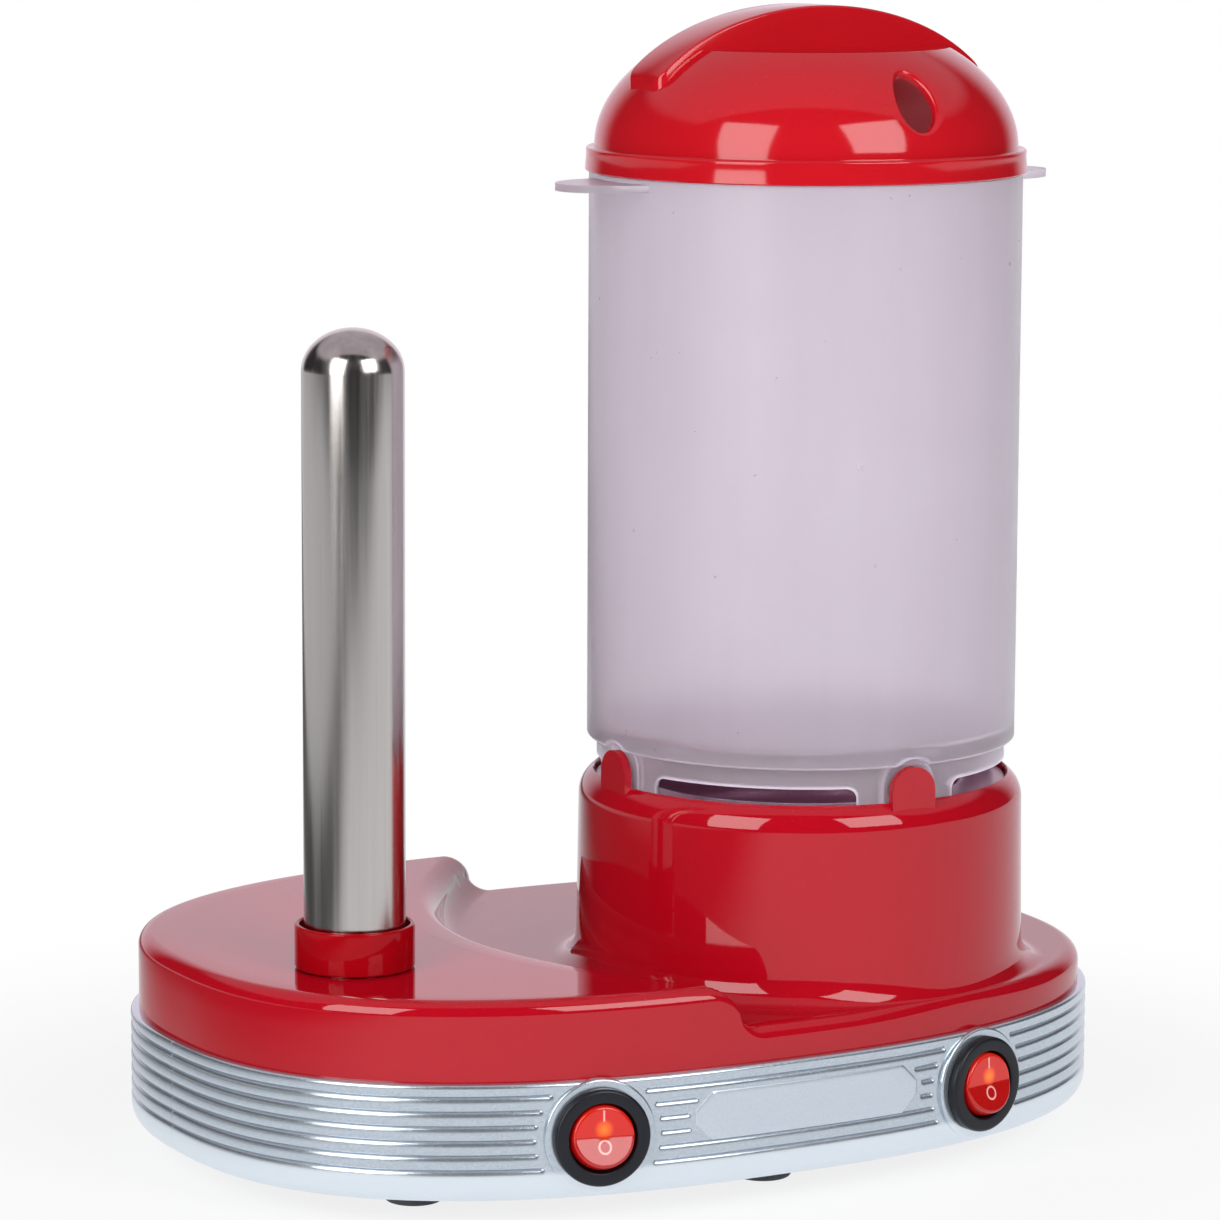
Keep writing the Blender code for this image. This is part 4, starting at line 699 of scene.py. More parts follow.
def heating_pan(material):
    """The pressed pan with a wide rim, rounded bowl corners and the stud under it."""
    outer = PEDESTAL_BORE - GAP
    floor = PAN_RIM_TOP - PAN_DEPTH
    bend = PAN_METAL * 1.6
    profile = [(STUD_RADIUS, STUD_FOOT), (STUD_RADIUS, floor - PAN_METAL)]
    profile += arc((PAN_BOWL_RADIUS - bend + PAN_METAL, floor - PAN_METAL + bend), bend, -90, 0, 6)
    profile += [(PAN_BOWL_RADIUS + PAN_METAL, PAN_RIM_TOP - PAN_METAL), (outer, PAN_RIM_TOP - PAN_METAL)]
    profile += arc((outer - GAP * 1.5, PAN_RIM_TOP - GAP * 1.5), GAP * 1.5, 0, 90, 3)
    profile += arc((PAN_BOWL_RADIUS + bend, PAN_RIM_TOP - bend), bend, 90, 180, 6)
    profile += arc((PAN_BOWL_RADIUS - bend * 2, floor + bend * 2), bend * 2, 0, -90, 8)
    profile += [(0.0010, floor)]
    points, faces = turned_shape(profile, 128, STEAMER)
    pan = add_object("pan", points, faces, material, "base", "nonstick_coating")
    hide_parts("heating_pan")


CUP_COLUMNS = 160


def hidden_tool(name, shape):
    points, faces = shape
    mesh = bpy.data.meshes.new(name)
    mesh.from_pydata([tuple(p) for p in points], [], [tuple(f) for f in faces])
    bm = bmesh.new()
    bm.from_mesh(mesh)
    bmesh.ops.recalc_face_normals(bm, faces=bm.faces)
    bm.to_mesh(mesh)
    bm.free()
    tool = bpy.data.objects.new(name, mesh)
    bpy.context.scene.collection.objects.link(tool)
    return tool


def shaped(base, steps):
    """Runs booleans on a base shape and returns the mesh that results; the tools are then removed."""
    target = hidden_tool("shape", base)
    tools = []
    for operation, shape in steps:
        tool = hidden_tool("tool", shape)
        modifier = target.modifiers.new(operation, "BOOLEAN")
        modifier.operation = operation
        modifier.object = tool
        modifier.solver = "EXACT"
        tools.append(tool)
    evaluated = target.evaluated_get(bpy.context.evaluated_depsgraph_get())
    mesh = bpy.data.meshes.new_from_object(evaluated)
    for tool in tools + [target]:
        bpy.data.objects.remove(tool)
    return mesh


def round_off(mesh, centre, radii):
    """Gives faces that lie on round walls of given radii exactly radial normals."""
    normals = np.zeros(len(mesh.loops) * 3, np.float32)
    mesh.corner_normals.foreach_get("vector", normals)
    normals = normals.reshape(-1, 3)
    points = np.zeros(len(mesh.vertices) * 3, np.float32)
    mesh.vertices.foreach_get("co", points)
    points = points.reshape(-1, 3)
    offsets = points[:, :2] - np.array(centre)
    distance = np.hypot(*offsets.T)
    for face in mesh.polygons:
        corners = list(face.vertices)
        for radius, sign in radii:
            if abs(face.normal.z) < 0.05 and all(abs(distance[i] - radius) < 2e-5 for i in corners):
                for loop, i in zip(face.loop_indices, corners):
                    normals[loop] = (*(sign * offsets[i] / distance[i]), 0)
    mesh.normals_split_custom_set([tuple(n) for n in normals])


def soften_foot(mesh):
    """Small roundings along the sharp edges below the container's floor."""
    bm = bmesh.new()
    bm.from_mesh(mesh)
    sharp = [edge for edge in bm.edges if edge.calc_face_angle(0) > math.radians(50)
             and all(SKIRT_FOOT - GAP < vertex.co.z < NICHE_TOP + GAP for vertex in edge.verts)
             and all((vertex.co.xy - STEAMER).length > HOLE_LIMIT for vertex in edge.verts)]
    bmesh.ops.bevel(bm, geom=sharp, offset=CUT_EDGE, segments=2, profile=0.5, affect="EDGES",
                           clamp_overlap=True)
    bm.to_mesh(mesh)
    bm.free()


def ear(turn):
    root = CONTAINER_RADIUS - CONTAINER_WALL + GAP
    half = EAR_WIDTH / 2
    steps = 28
    outline = [(root, -half)]
    for i in range(1, steps):
        t = math.pi * (i / steps - 0.5)
        outline.append((root + GAP + (EAR_REACH - root) * math.cos(t), half * math.sin(t)))
    outline.append((root, half))
    top = CONTAINER_LEDGE - EAR_THICKNESS / 2
    place = Matrix.Translation((STEAMER.x, STEAMER.y, 0)) @ Matrix.Rotation(turn, 4, "Z")
    return prism(outline, top - EAR_THICKNESS, top, place)


def niche(turn):
    width = LUG_WIDTH + NICHE_PLAY * 2
    pocket = LUG_RADIUS - LUG_THICKNESS - GAP
    return prism(arch(width, SKIRT_FOOT - 0.001, NICHE_TOP), 0, CONTAINER_RADIUS + 0.001 - pocket,
                 facing(turn, pocket))


def window(turn):
    half = SKIRT_RADIUS * math.sin(WINDOW_HALF_ANGLE)
    corner = (WINDOW_TOP - SKIRT_FOOT) / 2
    low = SKIRT_FOOT - 0.001
    right = arc((half - corner, WINDOW_TOP - corner), corner, 0, 90, 8)
    left = [(-x, z) for x, z in reversed(right)]
    near = SKIRT_RADIUS * math.cos(WINDOW_HALF_ANGLE) - SKIRT_WALL * 2
    return prism([(half, low)] + right + left + [(-half, low)], 0, SKIRT_RADIUS - near + 0.001,
                 facing(turn, near))


def floor_hole(x, y):
    outline = arc((0, 0), HOLE_RADIUS, 0, 350, 35)
    place = Matrix.Translation((STEAMER.x + x, STEAMER.y + y, 0))
    return prism(outline, FLOOR_TOP - FLOOR_THICKNESS - 0.001, FLOOR_TOP + 0.001, place)


def steam_container(material):
    """The milky cup: thin wall with a rounded foot, stepped rim, two ears, skirt, niches and windows."""
    inner = CONTAINER_RADIUS - CONTAINER_WALL
    neck = CONTAINER_RADIUS - RIM_STEP
    under = FLOOR_TOP - FLOOR_THICKNESS
    bend = FLOOR_THICKNESS
    edge = CUP_FOOT_EDGE
    skirt_in = SKIRT_RADIUS - SKIRT_WALL
    profile = [(0.0010, under), (skirt_in, under), (skirt_in, SKIRT_FOOT), (SKIRT_RADIUS, SKIRT_FOOT),
               (SKIRT_RADIUS, under)]
    profile += arc((CONTAINER_RADIUS - edge, under + edge), edge, -90, 0, 5)
    profile += [(CONTAINER_RADIUS, CONTAINER_LEDGE), (neck, CONTAINER_LEDGE), (neck, CONTAINER_RIM - GAP),
                (neck - GAP, CONTAINER_RIM), (inner, CONTAINER_RIM), (inner, FLOOR_TOP + bend)]
    profile += arc((inner - bend, FLOOR_TOP + bend), bend, 0, -90, 5)[1:]
    profile += [(0.0010, FLOOR_TOP)]
    holes = [(0, 0)]
    for ring, count in HOLE_RINGS:
        turns = [2 * math.pi * i / count for i in range(count)]
        holes += [(ring * math.cos(t), ring * math.sin(t)) for t in turns]
    steps = [("UNION", joined(*[ear(turn) for turn in (0, math.pi)])),
             ("DIFFERENCE", joined(*[niche(turn) for turn in quarter_turns()], *[floor_hole(*at) for at in holes])),
             ("DIFFERENCE", joined(*[window(turn + math.pi / 4) for turn in quarter_turns()]))]
    mesh = shaped(turned_shape(profile, CUP_COLUMNS, STEAMER), steps)
    soften_foot(mesh)
    cup = finish_object("steam_cup", mesh, material, "container", 34)
    round_off(mesh, STEAMER, ((CONTAINER_RADIUS, 1), (inner, -1), (neck, 1), (SKIRT_RADIUS, 1), (skirt_in, -1)))
    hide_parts("steam_container")


LID_COLUMNS = 200
DOME_ROWS = 26
VENT_PATCH_COLUMNS = 7
VENT_PATCH_RISE = (0.0112, 0.0106)


def dome_point(turn, rise):
    """A point of the lid's dome and its outward direction there, from a turn and a rise angle."""
    out = np.stack([np.cos(turn), np.sin(turn)], axis=-1)
    radius = LID_DOME_RADIUS * np.cos(rise)[..., None]
    place = np.concatenate([np.array(STEAMER) + out * radius,
                            (LID_RIDGE_Z + LID_DOME_HEIGHT * np.sin(rise))[..., None]], axis=-1)
    normal = np.concatenate([out * (np.cos(rise) / LID_DOME_RADIUS)[..., None],
                             (np.sin(rise) / LID_DOME_HEIGHT)[..., None]], axis=-1)
    return place, normal / np.linalg.norm(normal, axis=-1, keepdims=True)


def lid_dome():
    """The dome's rows with a patch left out at the front, and rings that lead from the patch into the vent."""
    last = math.asin((LID_LEDGE_Z - LID_RIDGE_Z) / LID_DOME_HEIGHT)
    rises = np.linspace(0, last, DOME_ROWS + 1)
    across_angle = VENT_SHIFT / (LID_DOME_RADIUS * math.cos(math.asin((VENT_CENTRE_Z - LID_RIDGE_Z) / LID_DOME_HEIGHT)))
    turns = across_angle - math.pi * 1.5 + np.linspace(0, 2 * math.pi, LID_COLUMNS, endpoint=False)
    turn, rise = np.meshgrid(turns, rises)
    place, _ = dome_point(turn, rise)
    middle = LID_COLUMNS // 2
    left, right = middle - VENT_PATCH_COLUMNS, middle + VENT_PATCH_COLUMNS
    heights = LID_RIDGE_Z + LID_DOME_HEIGHT * np.sin(rises)
    low = int(np.argmin(np.abs(heights - (VENT_CENTRE_Z - VENT_PATCH_RISE[0]))))
    high = int(np.argmin(np.abs(heights - (VENT_CENTRE_Z + VENT_PATCH_RISE[1]))))
    high = min(high, DOME_ROWS - 1)
    faces = []
    for face_number, face in enumerate(skin(place)):
        row, column = divmod(face_number, LID_COLUMNS)
        if not (low <= row < high and left <= column < right):
            faces.append(face)

    loop = [(low, c) for c in range(left, right)] + [(r, right) for r in range(low, high)]
    loop += [(high, c) for c in range(right, left, -1)] + [(r, left) for r in range(high, low, -1)]
    start_turn = np.array([turns[c] for _, c in loop])
    start_rise = np.array([rises[r] for r, _ in loop])
    centre_rise = math.asin((VENT_CENTRE_Z - LID_RIDGE_Z) / LID_DOME_HEIGHT)
    across_scale = LID_DOME_RADIUS * math.cos(centre_rise)
    up_scale = math.hypot(LID_DOME_RADIUS * math.sin(centre_rise), LID_DOME_HEIGHT * math.cos(centre_rise))
    u = (start_turn - turns[middle]) * across_scale
    v = (start_rise - centre_rise) * up_scale
    around = np.arctan2(v / VENT_HALF[1], u / VENT_HALF[0])

    def oval(grow):
        return (VENT_HALF[0] + grow) * np.cos(around), (VENT_HALF[1] + grow) * np.sin(around)

    rim = VENT_EDGE
    rings = []
    outer_u, outer_v = oval(rim)
    for share in (0.3, 0.6, 0.85, 1.0):
        rings.append((u + (outer_u - u) * share, v + (outer_v - v) * share, 0))
    for angle in np.radians((20, 40, 60, 80, 90)):
        rings.append((*oval(rim * (1 - math.sin(angle))), rim * (1 - math.cos(angle))))
    rings.append((*oval(0), LID_WALL * 1.05))
    rings.append((*oval(VENT_FLANGE), LID_WALL * 1.05))
    points = [place.reshape(-1, 3)]
    indices = [[r * LID_COLUMNS + c for r, c in loop]]
    total = place.size // 3
    for ring_u, ring_v, depth in rings:
        spot, normal = dome_point(turns[middle] + ring_u / across_scale, centre_rise + ring_v / up_scale)
        points.append(spot - normal * depth)
        indices.append(list(range(total, total + len(loop))))
        total += len(loop)
    for outer, inner in zip(indices, indices[1:]):
        for i in range(len(loop)):
            j = (i + 1) % len(loop)
            faces.append([outer[i], outer[j], inner[j], inner[i]])
    return np.concatenate(points), faces, last


def lid(material):
    """The red lid: skirt with a beaded ridge, dome with an oval vent, flat ledge, and the arched fin."""
    dome = lid_dome()
    last = dome[2]
    seat = CONTAINER_RIM + GAP
    skirt_in = CONTAINER_RADIUS - RIM_STEP + GAP
    bead = 0.0005
    shell_in = LID_DOME_RADIUS - LID_WALL
    skirt = [(shell_in, seat), (skirt_in, seat), (skirt_in, LID_FOOT), (LID_SKIRT_RADIUS - GAP, LID_FOOT),
             (LID_SKIRT_RADIUS, LID_FOOT + GAP), (LID_SKIRT_RADIUS - GAP, LID_RIDGE_Z - bead * 3)]
    skirt += arc((LID_SKIRT_RADIUS - bead * 1.4, LID_RIDGE_Z - bead * 1.6), bead, 0, 90, 5)
    skirt += [(LID_DOME_RADIUS + bead * 1.5, LID_RIDGE_Z - bead)]
    skirt += arc((LID_DOME_RADIUS + bead, LID_RIDGE_Z), bead, -60, -180, 5)
    radius = LID_DOME_RADIUS * math.cos(last)
    crown = arc((radius - LID_LEDGE_EDGE, LID_LEDGE_Z - LID_LEDGE_EDGE * 0.55), LID_LEDGE_EDGE * 0.55, 35, 90, 4)
    crown = [(r + LID_LEDGE_EDGE * 0.55, z) for r, z in crown]
    crown[0] = (radius, LID_LEDGE_Z - LID_LEDGE_EDGE * 0.05)
    crown += [(radius * 0.6, LID_LEDGE_Z), (0.0010, LID_LEDGE_Z)]
    inner = [(shell_in * math.cos(t), LID_RIDGE_Z + (LID_DOME_HEIGHT - LID_WALL) * math.sin(t))
             for t in np.linspace(math.asin((LID_LEDGE_Z - LID_WALL - LID_RIDGE_Z) / (LID_DOME_HEIGHT - LID_WALL)),
                                  0, 18)]
    under = [(0.0010, LID_LEDGE_Z - LID_WALL)] + inner + [(shell_in, seat)]
    inner_grid = turned_grid(under, LID_COLUMNS, STEAMER)
    inner_faces = [face for face in skin(inner_grid) if not in_vent(inner_grid.reshape(-1, 3)[face].mean(axis=0))]
    shape = joined(turned_shape(skirt, LID_COLUMNS, STEAMER, closed=False), dome[:2],
                   turned_shape(crown, LID_COLUMNS, STEAMER, closed=False), (inner_grid.reshape(-1, 3), inner_faces))
    cap = add_object("lid_dome", *shape, material, "lid", "red_lid_plastic", 38)
    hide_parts("lid")
    lid_fin(material)


def in_vent(point):
    """Whether a point of the inner shell lies in the vent's opening."""
    across = point[0] - STEAMER.x - VENT_SHIFT
    half_width, half_height = VENT_HALF[0] + VENT_FLANGE * 0.45, VENT_HALF[1] * 0.8 + VENT_FLANGE * 0.35
    return point[1] < STEAMER.y and (across / half_width) ** 2 + ((point[2] - VENT_CENTRE_Z) / half_height) ** 2 < 1


FIN_STATIONS = 60


def lid_fin(material):
    """The arched handle: rounded along its edges and at both ends."""
    def crest(x):
        share = np.clip(1 - (x / (LID_DOME_RADIUS + FIN_PROUD)) ** 2, 0, 1)
        return LID_RIDGE_Z + (LID_DOME_HEIGHT + FIN_PROUD) * np.sqrt(share)

    def root(x):
        share = np.clip(1 - (x / (LID_DOME_RADIUS - LID_WALL / 2)) ** 2, 0, 1)
        return np.minimum(LID_RIDGE_Z + (LID_DOME_HEIGHT - LID_WALL / 2) * np.sqrt(share), LID_LEDGE_Z - LID_WALL / 2)

    corner = [(FIN_HALF_LENGTH - FIN_CORNER * (1 - math.sin(t)), FIN_CORNER * (1 - math.cos(t)))
              for t in np.radians(np.linspace(0, 90, 9))]
    middle = [(x, 0.0) for x in np.linspace(-corner[0][0], corner[0][0], FIN_STATIONS)[1:-1]]
    stations = [(-x, inset) for x, inset in reversed(corner)] + middle + corner
    rows = []
    for x, inset in stations:
        half = FIN_WIDTH / 2 - inset
        sink = FIN_EDGE * (inset / FIN_CORNER) ** 3
        top = float(crest(np.array(x))) - sink
        low = float(root(np.array(x)))
        section = [(half, low)] + [(half - FIN_EDGE * (1 - math.cos(t)), top - FIN_EDGE * (1 - math.sin(t)))
                                   for t in np.radians((0, 22, 45, 68, 90))]
        section += [(-y, z) for y, z in reversed(section)]
        rows.append([(STEAMER.x + x, STEAMER.y + y, z) for y, z in section])
    grid = np.array(rows)
    count = grid.shape[1]
    faces = skin(grid) + [list(range(count))[::-1], list(range(grid.size // 3 - count, grid.size // 3))]
    add_object("lid_fin", grid.reshape(-1, 3), faces, material, "lid", "red_lid_plastic", 40)


def foot_places():
    return [((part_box(f"foot_{i}")[0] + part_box(f"foot_{i}")[1]) / 2).xy for i in range(1, 7)]


def feet(material):
    """Rubber feet with a rounded, slightly dished sole."""
    top = PLATE_FOOT - GAP
    edge = 0.0011
    profile = [(0.0008, 0.0003), (FOOT_RADIUS * 0.45, 0.0003), (FOOT_RADIUS * 0.55, 0.0)]
    profile += arc((FOOT_RADIUS - edge, edge), edge, -90, 0, 6)
    profile += arc((FOOT_RADIUS - edge / 2, top - edge / 2), edge / 2, 0, 90, 4) + [(FOOT_STEM, top)]
    for number, place in enumerate(foot_places(), 1):
        points, faces = turned_shape(profile, 56, place)
        foot = add_object(f"rubber_foot_{number}", points, faces, material, "base", "grey_rubber")
        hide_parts(f"foot_{number}")


def cord_gland(material):
    out = BAND_PROUD + GAP
    inside = -GLAND_SEAT
    profile = [(CORD_RADIUS, inside - GLAND_FLANGE), (GLAND_NECK + GAP * 2, inside - GLAND_FLANGE),
               (GLAND_NECK + GAP * 3, inside), (GLAND_NECK, inside), (GLAND_NECK, out), (GLAND_RADIUS, out)]
    profile += arc((GLAND_RADIUS - GLAND_FLANGE * 0.7, out + GLAND_FLANGE * 0.3), GLAND_FLANGE * 0.7, 0, 90, 5)
    profile += arc((CORD_RADIUS + GLAND_FLANGE * 0.4, out + GLAND_FLANGE * 0.6), GLAND_FLANGE * 0.4, 90, 180, 4)
    profile += [(CORD_RADIUS, inside - GLAND_FLANGE)]
    points, faces = turned_shape(profile, 56, closed=False)
    gland = add_object("cord_grommet", moved(points, plan_frame(GLAND_X, 1, GLAND_Z)), faces, material, "base",
                       "black_plastic")
    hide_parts("cord_gland")


def base_screws(material):
    """Pan heads with a cross recess, seen from below."""
    rings = np.concatenate([np.linspace(0.00008, SCREW_CROSS[0] + 0.0003, 12),
                            np.linspace(SCREW_CROSS[0] + 0.0005, SCREW_HEAD_RADIUS, 8)])
    turn = np.linspace(0, 2 * math.pi, 96, endpoint=False)
    reach, half, depth = SCREW_CROSS
    for number in range(1, 5):
        low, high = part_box(f"base_screw_{number}")
        middle = (low + high) / 2
        rows = []
        for radius in rings:
            x, y = radius * np.cos(turn), radius * np.sin(turn)
            dome = (radius / SCREW_HEAD_RADIUS) ** 4 * SCREW_HEAD_HEIGHT * 0.75
            arm = np.minimum(np.abs(x), np.abs(y)) - half
            inside = soft_step(-arm, -0.0001, 0.0001) * soft_step(reach - radius, -0.0001, 0.0002)
            rows.append(np.stack([middle.x + x, middle.y + y, low.z + dome + inside * depth], axis=-1))
        top = low.z + SCREW_HEAD_HEIGHT
        for radius, z in ((SCREW_HEAD_RADIUS, top), (SCREW_RADIUS, top), (SCREW_RADIUS, high.z)):
            rows.append(np.stack([middle.x + radius * np.cos(turn), middle.y + radius * np.sin(turn),
                                  np.full_like(turn, z)], axis=-1))
        grid = np.stack(rows)
        last = grid.size // 3
        faces = skin(grid) + [list(range(96))[::-1], list(range(last - 96, last))]
        screw = add_object(f"plate_screw_{number}", grid.reshape(-1, 3), faces, material, "base",
                           "zinc_plated_steel", 50)
        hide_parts(f"base_screw_{number}")


def node(tree, kind, inputs=None, **settings):
    """Adds a shader node; an input given as a socket is joined, anything else is its value."""
    made = tree.nodes.new("ShaderNode" + kind)
    for key, value in settings.items():
        setattr(made, key, value)
    for key, value in (inputs or {}).items():
        if isinstance(value, bpy.types.NodeSocket):
            tree.links.new(value, made.inputs[key])
        else:
            made.inputs[key].default_value = value
    return made


def group_tree(name, inputs, outputs):
    """An empty shader group with named sockets; returns its tree, inputs and output node."""
    tree = bpy.data.node_groups.new(name, "ShaderNodeTree")
    for label, kind, value in inputs:
        socket = tree.interface.new_socket(label, in_out="INPUT", socket_type="NodeSocket" + kind)
        socket.default_value = value
    for label, kind in outputs:
        tree.interface.new_socket(label, in_out="OUTPUT", socket_type="NodeSocket" + kind)
    return tree, tree.nodes.new("NodeGroupInput").outputs, tree.nodes.new("NodeGroupOutput")


def place_coordinates(tree):
    return node(tree, "TexCoord").outputs["Object"]


def math_node(tree, operation, first, second=0.0, clamp=False):
    return node(tree, "Math", {0: first, 1: second}, operation=operation, use_clamp=clamp).outputs[0]


def mix_colour(tree, share, first, second, blend="MIX"):
    return node(tree, "Mix", {0: share, 6: first, 7: second}, data_type="RGBA", blend_type=blend).outputs[2]


def moulding_group():
    """Slow waviness of a moulded gloss wall and faint flow marks in its shine."""
    tree, given, out = group_tree("Moulding waviness", [("Wave Size", "Float", 55.0), ("Base Roughness", "Float", 0.1),
                                                        ("Roughness Swing", "Float", 0.035)],
                                  [("Height", "Float"), ("Roughness", "Float")])
    place = place_coordinates(tree)
    waves = node(tree, "TexNoise", {"Vector": place, "Scale": given["Wave Size"], "Detail": 1.5, "Roughness": 0.4})
    patches = node(tree, "TexNoise", {"Vector": place, "Scale": 190.0, "Detail": 5.0, "Roughness": 0.65})
    swing = math_node(tree, "MULTIPLY", patches.outputs["Fac"], given["Roughness Swing"])
    tree.links.new(waves.outputs["Fac"], out.inputs["Height"])
    tree.links.new(math_node(tree, "ADD", swing, given["Base Roughness"]), out.inputs["Roughness"])
    return tree


def dust_group():
    """Fine dust that has settled on faces that look up, and a few lint specks."""
    tree, given, out = group_tree("Settled dust", [("Color", "Color", (1, 1, 1, 1)),
                                                   ("Dust Color", "Color", (0.62, 0.6, 0.58, 1)),
                                                   ("Amount", "Float", 0.1)],
                                  [("Color", "Color"), ("Dust", "Float")])
    place = place_coordinates(tree)
    specks = node(tree, "TexNoise", {"Vector": place, "Scale": 1500.0, "Detail": 2.0, "Roughness": 0.6})
    lifted = node(tree, "MapRange", {"Value": specks.outputs["Fac"], "From Min": 0.66, "From Max": 0.80})
    facing_up = node(tree, "SeparateXYZ", {"Vector": node(tree, "NewGeometry").outputs["Normal"]}).outputs["Z"]
    upward = math_node(tree, "MAXIMUM", facing_up, 0.12)
    dust = math_node(tree, "MULTIPLY", math_node(tree, "MULTIPLY", lifted.outputs["Result"], upward),
                     given["Amount"], clamp=True)
    tree.links.new(mix_colour(tree, dust, given["Color"], given["Dust Color"]), out.inputs["Color"])
    tree.links.new(dust, out.inputs["Dust"])
    return tree


def flake_group():
    """Metallic paint: fine flakes of two shades with a sparkle in their shine."""
    tree, given, out = group_tree("Paint flakes", [("Light", "Color", (0.7, 0.72, 0.75, 1)),
                                                   ("Dark", "Color", (0.5, 0.52, 0.55, 1)),
                                                   ("Flake Scale", "Float", 5200.0),
                                                   ("Base Roughness", "Float", 0.3)],
                                  [("Color", "Color"), ("Roughness", "Float"), ("Height", "Float")])
    place = place_coordinates(tree)
    flakes = node(tree, "TexVoronoi", {"Vector": place, "Scale": given["Flake Scale"]})
    shade = node(tree, "SeparateColor", {"Color": flakes.outputs["Color"]}).outputs[0]
    clouds = node(tree, "TexNoise", {"Vector": place, "Scale": 130.0, "Detail": 3.0})
    tree.links.new(mix_colour(tree, shade, given["Dark"], given["Light"]), out.inputs["Color"])
    swing = math_node(tree, "MULTIPLY", math_node(tree, "ADD", shade, clouds.outputs["Fac"]), 0.06)
    tree.links.new(math_node(tree, "ADD", swing, given["Base Roughness"]), out.inputs["Roughness"])
    tree.links.new(shade, out.inputs["Height"])
    return tree


def grain_group():
    """Fine eroded grain of a moulded or rubber surface."""
    tree, given, out = group_tree("Moulded grain", [("Grain Scale", "Float", 2400.0), ("Light", "Color", (1, 1, 1, 1)),
                                                    ("Dark", "Color", (0, 0, 0, 1)), ("Base Roughness", "Float", 0.5)],
                                  [("Color", "Color"), ("Roughness", "Float"), ("Height", "Float")])
    place = place_coordinates(tree)
    grain = node(tree, "TexNoise", {"Vector": place, "Scale": given["Grain Scale"], "Detail": 4.0, "Roughness": 0.7})
    clouds = node(tree, "TexNoise", {"Vector": place, "Scale": 160.0, "Detail": 3.0})
    shade = math_node(tree, "MULTIPLY", math_node(tree, "ADD", grain.outputs["Fac"], clouds.outputs["Fac"]), 0.5)
    tree.links.new(mix_colour(tree, shade, given["Dark"], given["Light"]), out.inputs["Color"])
    swing = math_node(tree, "MULTIPLY", clouds.outputs["Fac"], 0.15)
    tree.links.new(math_node(tree, "ADD", swing, given["Base Roughness"]), out.inputs["Roughness"])
    tree.links.new(grain.outputs["Fac"], out.inputs["Height"])
    return tree


def drawn_group():
    """Fine lines that run one way on drawn, turned or plated metal."""
    tree, given, out = group_tree("Drawn lines", [("Stretch", "Vector", (300.0, 300.0, 6000.0)),
                                                  ("Light", "Color", (1, 1, 1, 1)), ("Dark", "Color", (0.5, 0.5, 0.5, 1)),
                                                  ("Base Roughness", "Float", 0.2), ("Roughness Swing", "Float", 0.1)],
                                  [("Color", "Color"), ("Roughness", "Float"), ("Height", "Float")])
    place = node(tree, "VectorMath", {0: place_coordinates(tree), 1: given["Stretch"]}, operation="MULTIPLY")
    lines = node(tree, "TexNoise", {"Vector": place.outputs["Vector"], "Scale": 1.0, "Detail": 3.0})
    tree.links.new(mix_colour(tree, lines.outputs["Fac"], given["Dark"], given["Light"]), out.inputs["Color"])
    swing = math_node(tree, "MULTIPLY", lines.outputs["Fac"], given["Roughness Swing"])
    tree.links.new(math_node(tree, "ADD", swing, given["Base Roughness"]), out.inputs["Roughness"])
    tree.links.new(lines.outputs["Fac"], out.inputs["Height"])
    return tree


def material_of(name, **plain):
    """A material around one Principled shader; plain gives the shader's own values, spaces as underscores."""
    made = bpy.data.materials.new(name)
    made.use_nodes = True
    shader = made.node_tree.nodes["Principled BSDF"]
    for key, value in plain.items():
        shader.inputs[key.replace("_", " ")].default_value = value
    return made, made.node_tree, shader


def use_group(tree, group, **inputs):
    placed = tree.nodes.new("ShaderNodeGroup")
    placed.node_tree = group
    for key, value in inputs.items():
        socket = placed.inputs[key.replace("_", " ")]
        if isinstance(value, bpy.types.NodeSocket):
            tree.links.new(value, socket)
        else:
            socket.default_value = value
    return placed.outputs


def add_bump(tree, shader, height, strength, distance):
    bump = node(tree, "Bump", {"Height": height, "Strength": strength, "Distance": distance})
    tree.links.new(bump.outputs["Normal"], shader.inputs["Normal"])


def gloss_red(name, colour, deep, groups, roughness=0.05, **plain):
    """Deep red gloss plastic: pigment shade varies a little, the moulded wall is slightly wavy."""
    made, tree, shader = material_of(name, IOR=1.5, **plain)
    clouds = node(tree, "TexNoise", {"Vector": place_coordinates(tree), "Scale": 38.0, "Detail": 3.0})
    pigment = mix_colour(tree, clouds.outputs["Fac"], deep, colour)
    dust = use_group(tree, groups["dust"], Color=pigment, Amount=0.10)
    wall = use_group(tree, groups["moulding"], Base_Roughness=roughness)
    tree.links.new(dust["Color"], shader.inputs["Base Color"])
    tree.links.new(wall["Roughness"], shader.inputs["Roughness"])
    add_bump(tree, shader, wall["Height"], 0.25, 0.0001)
    return made


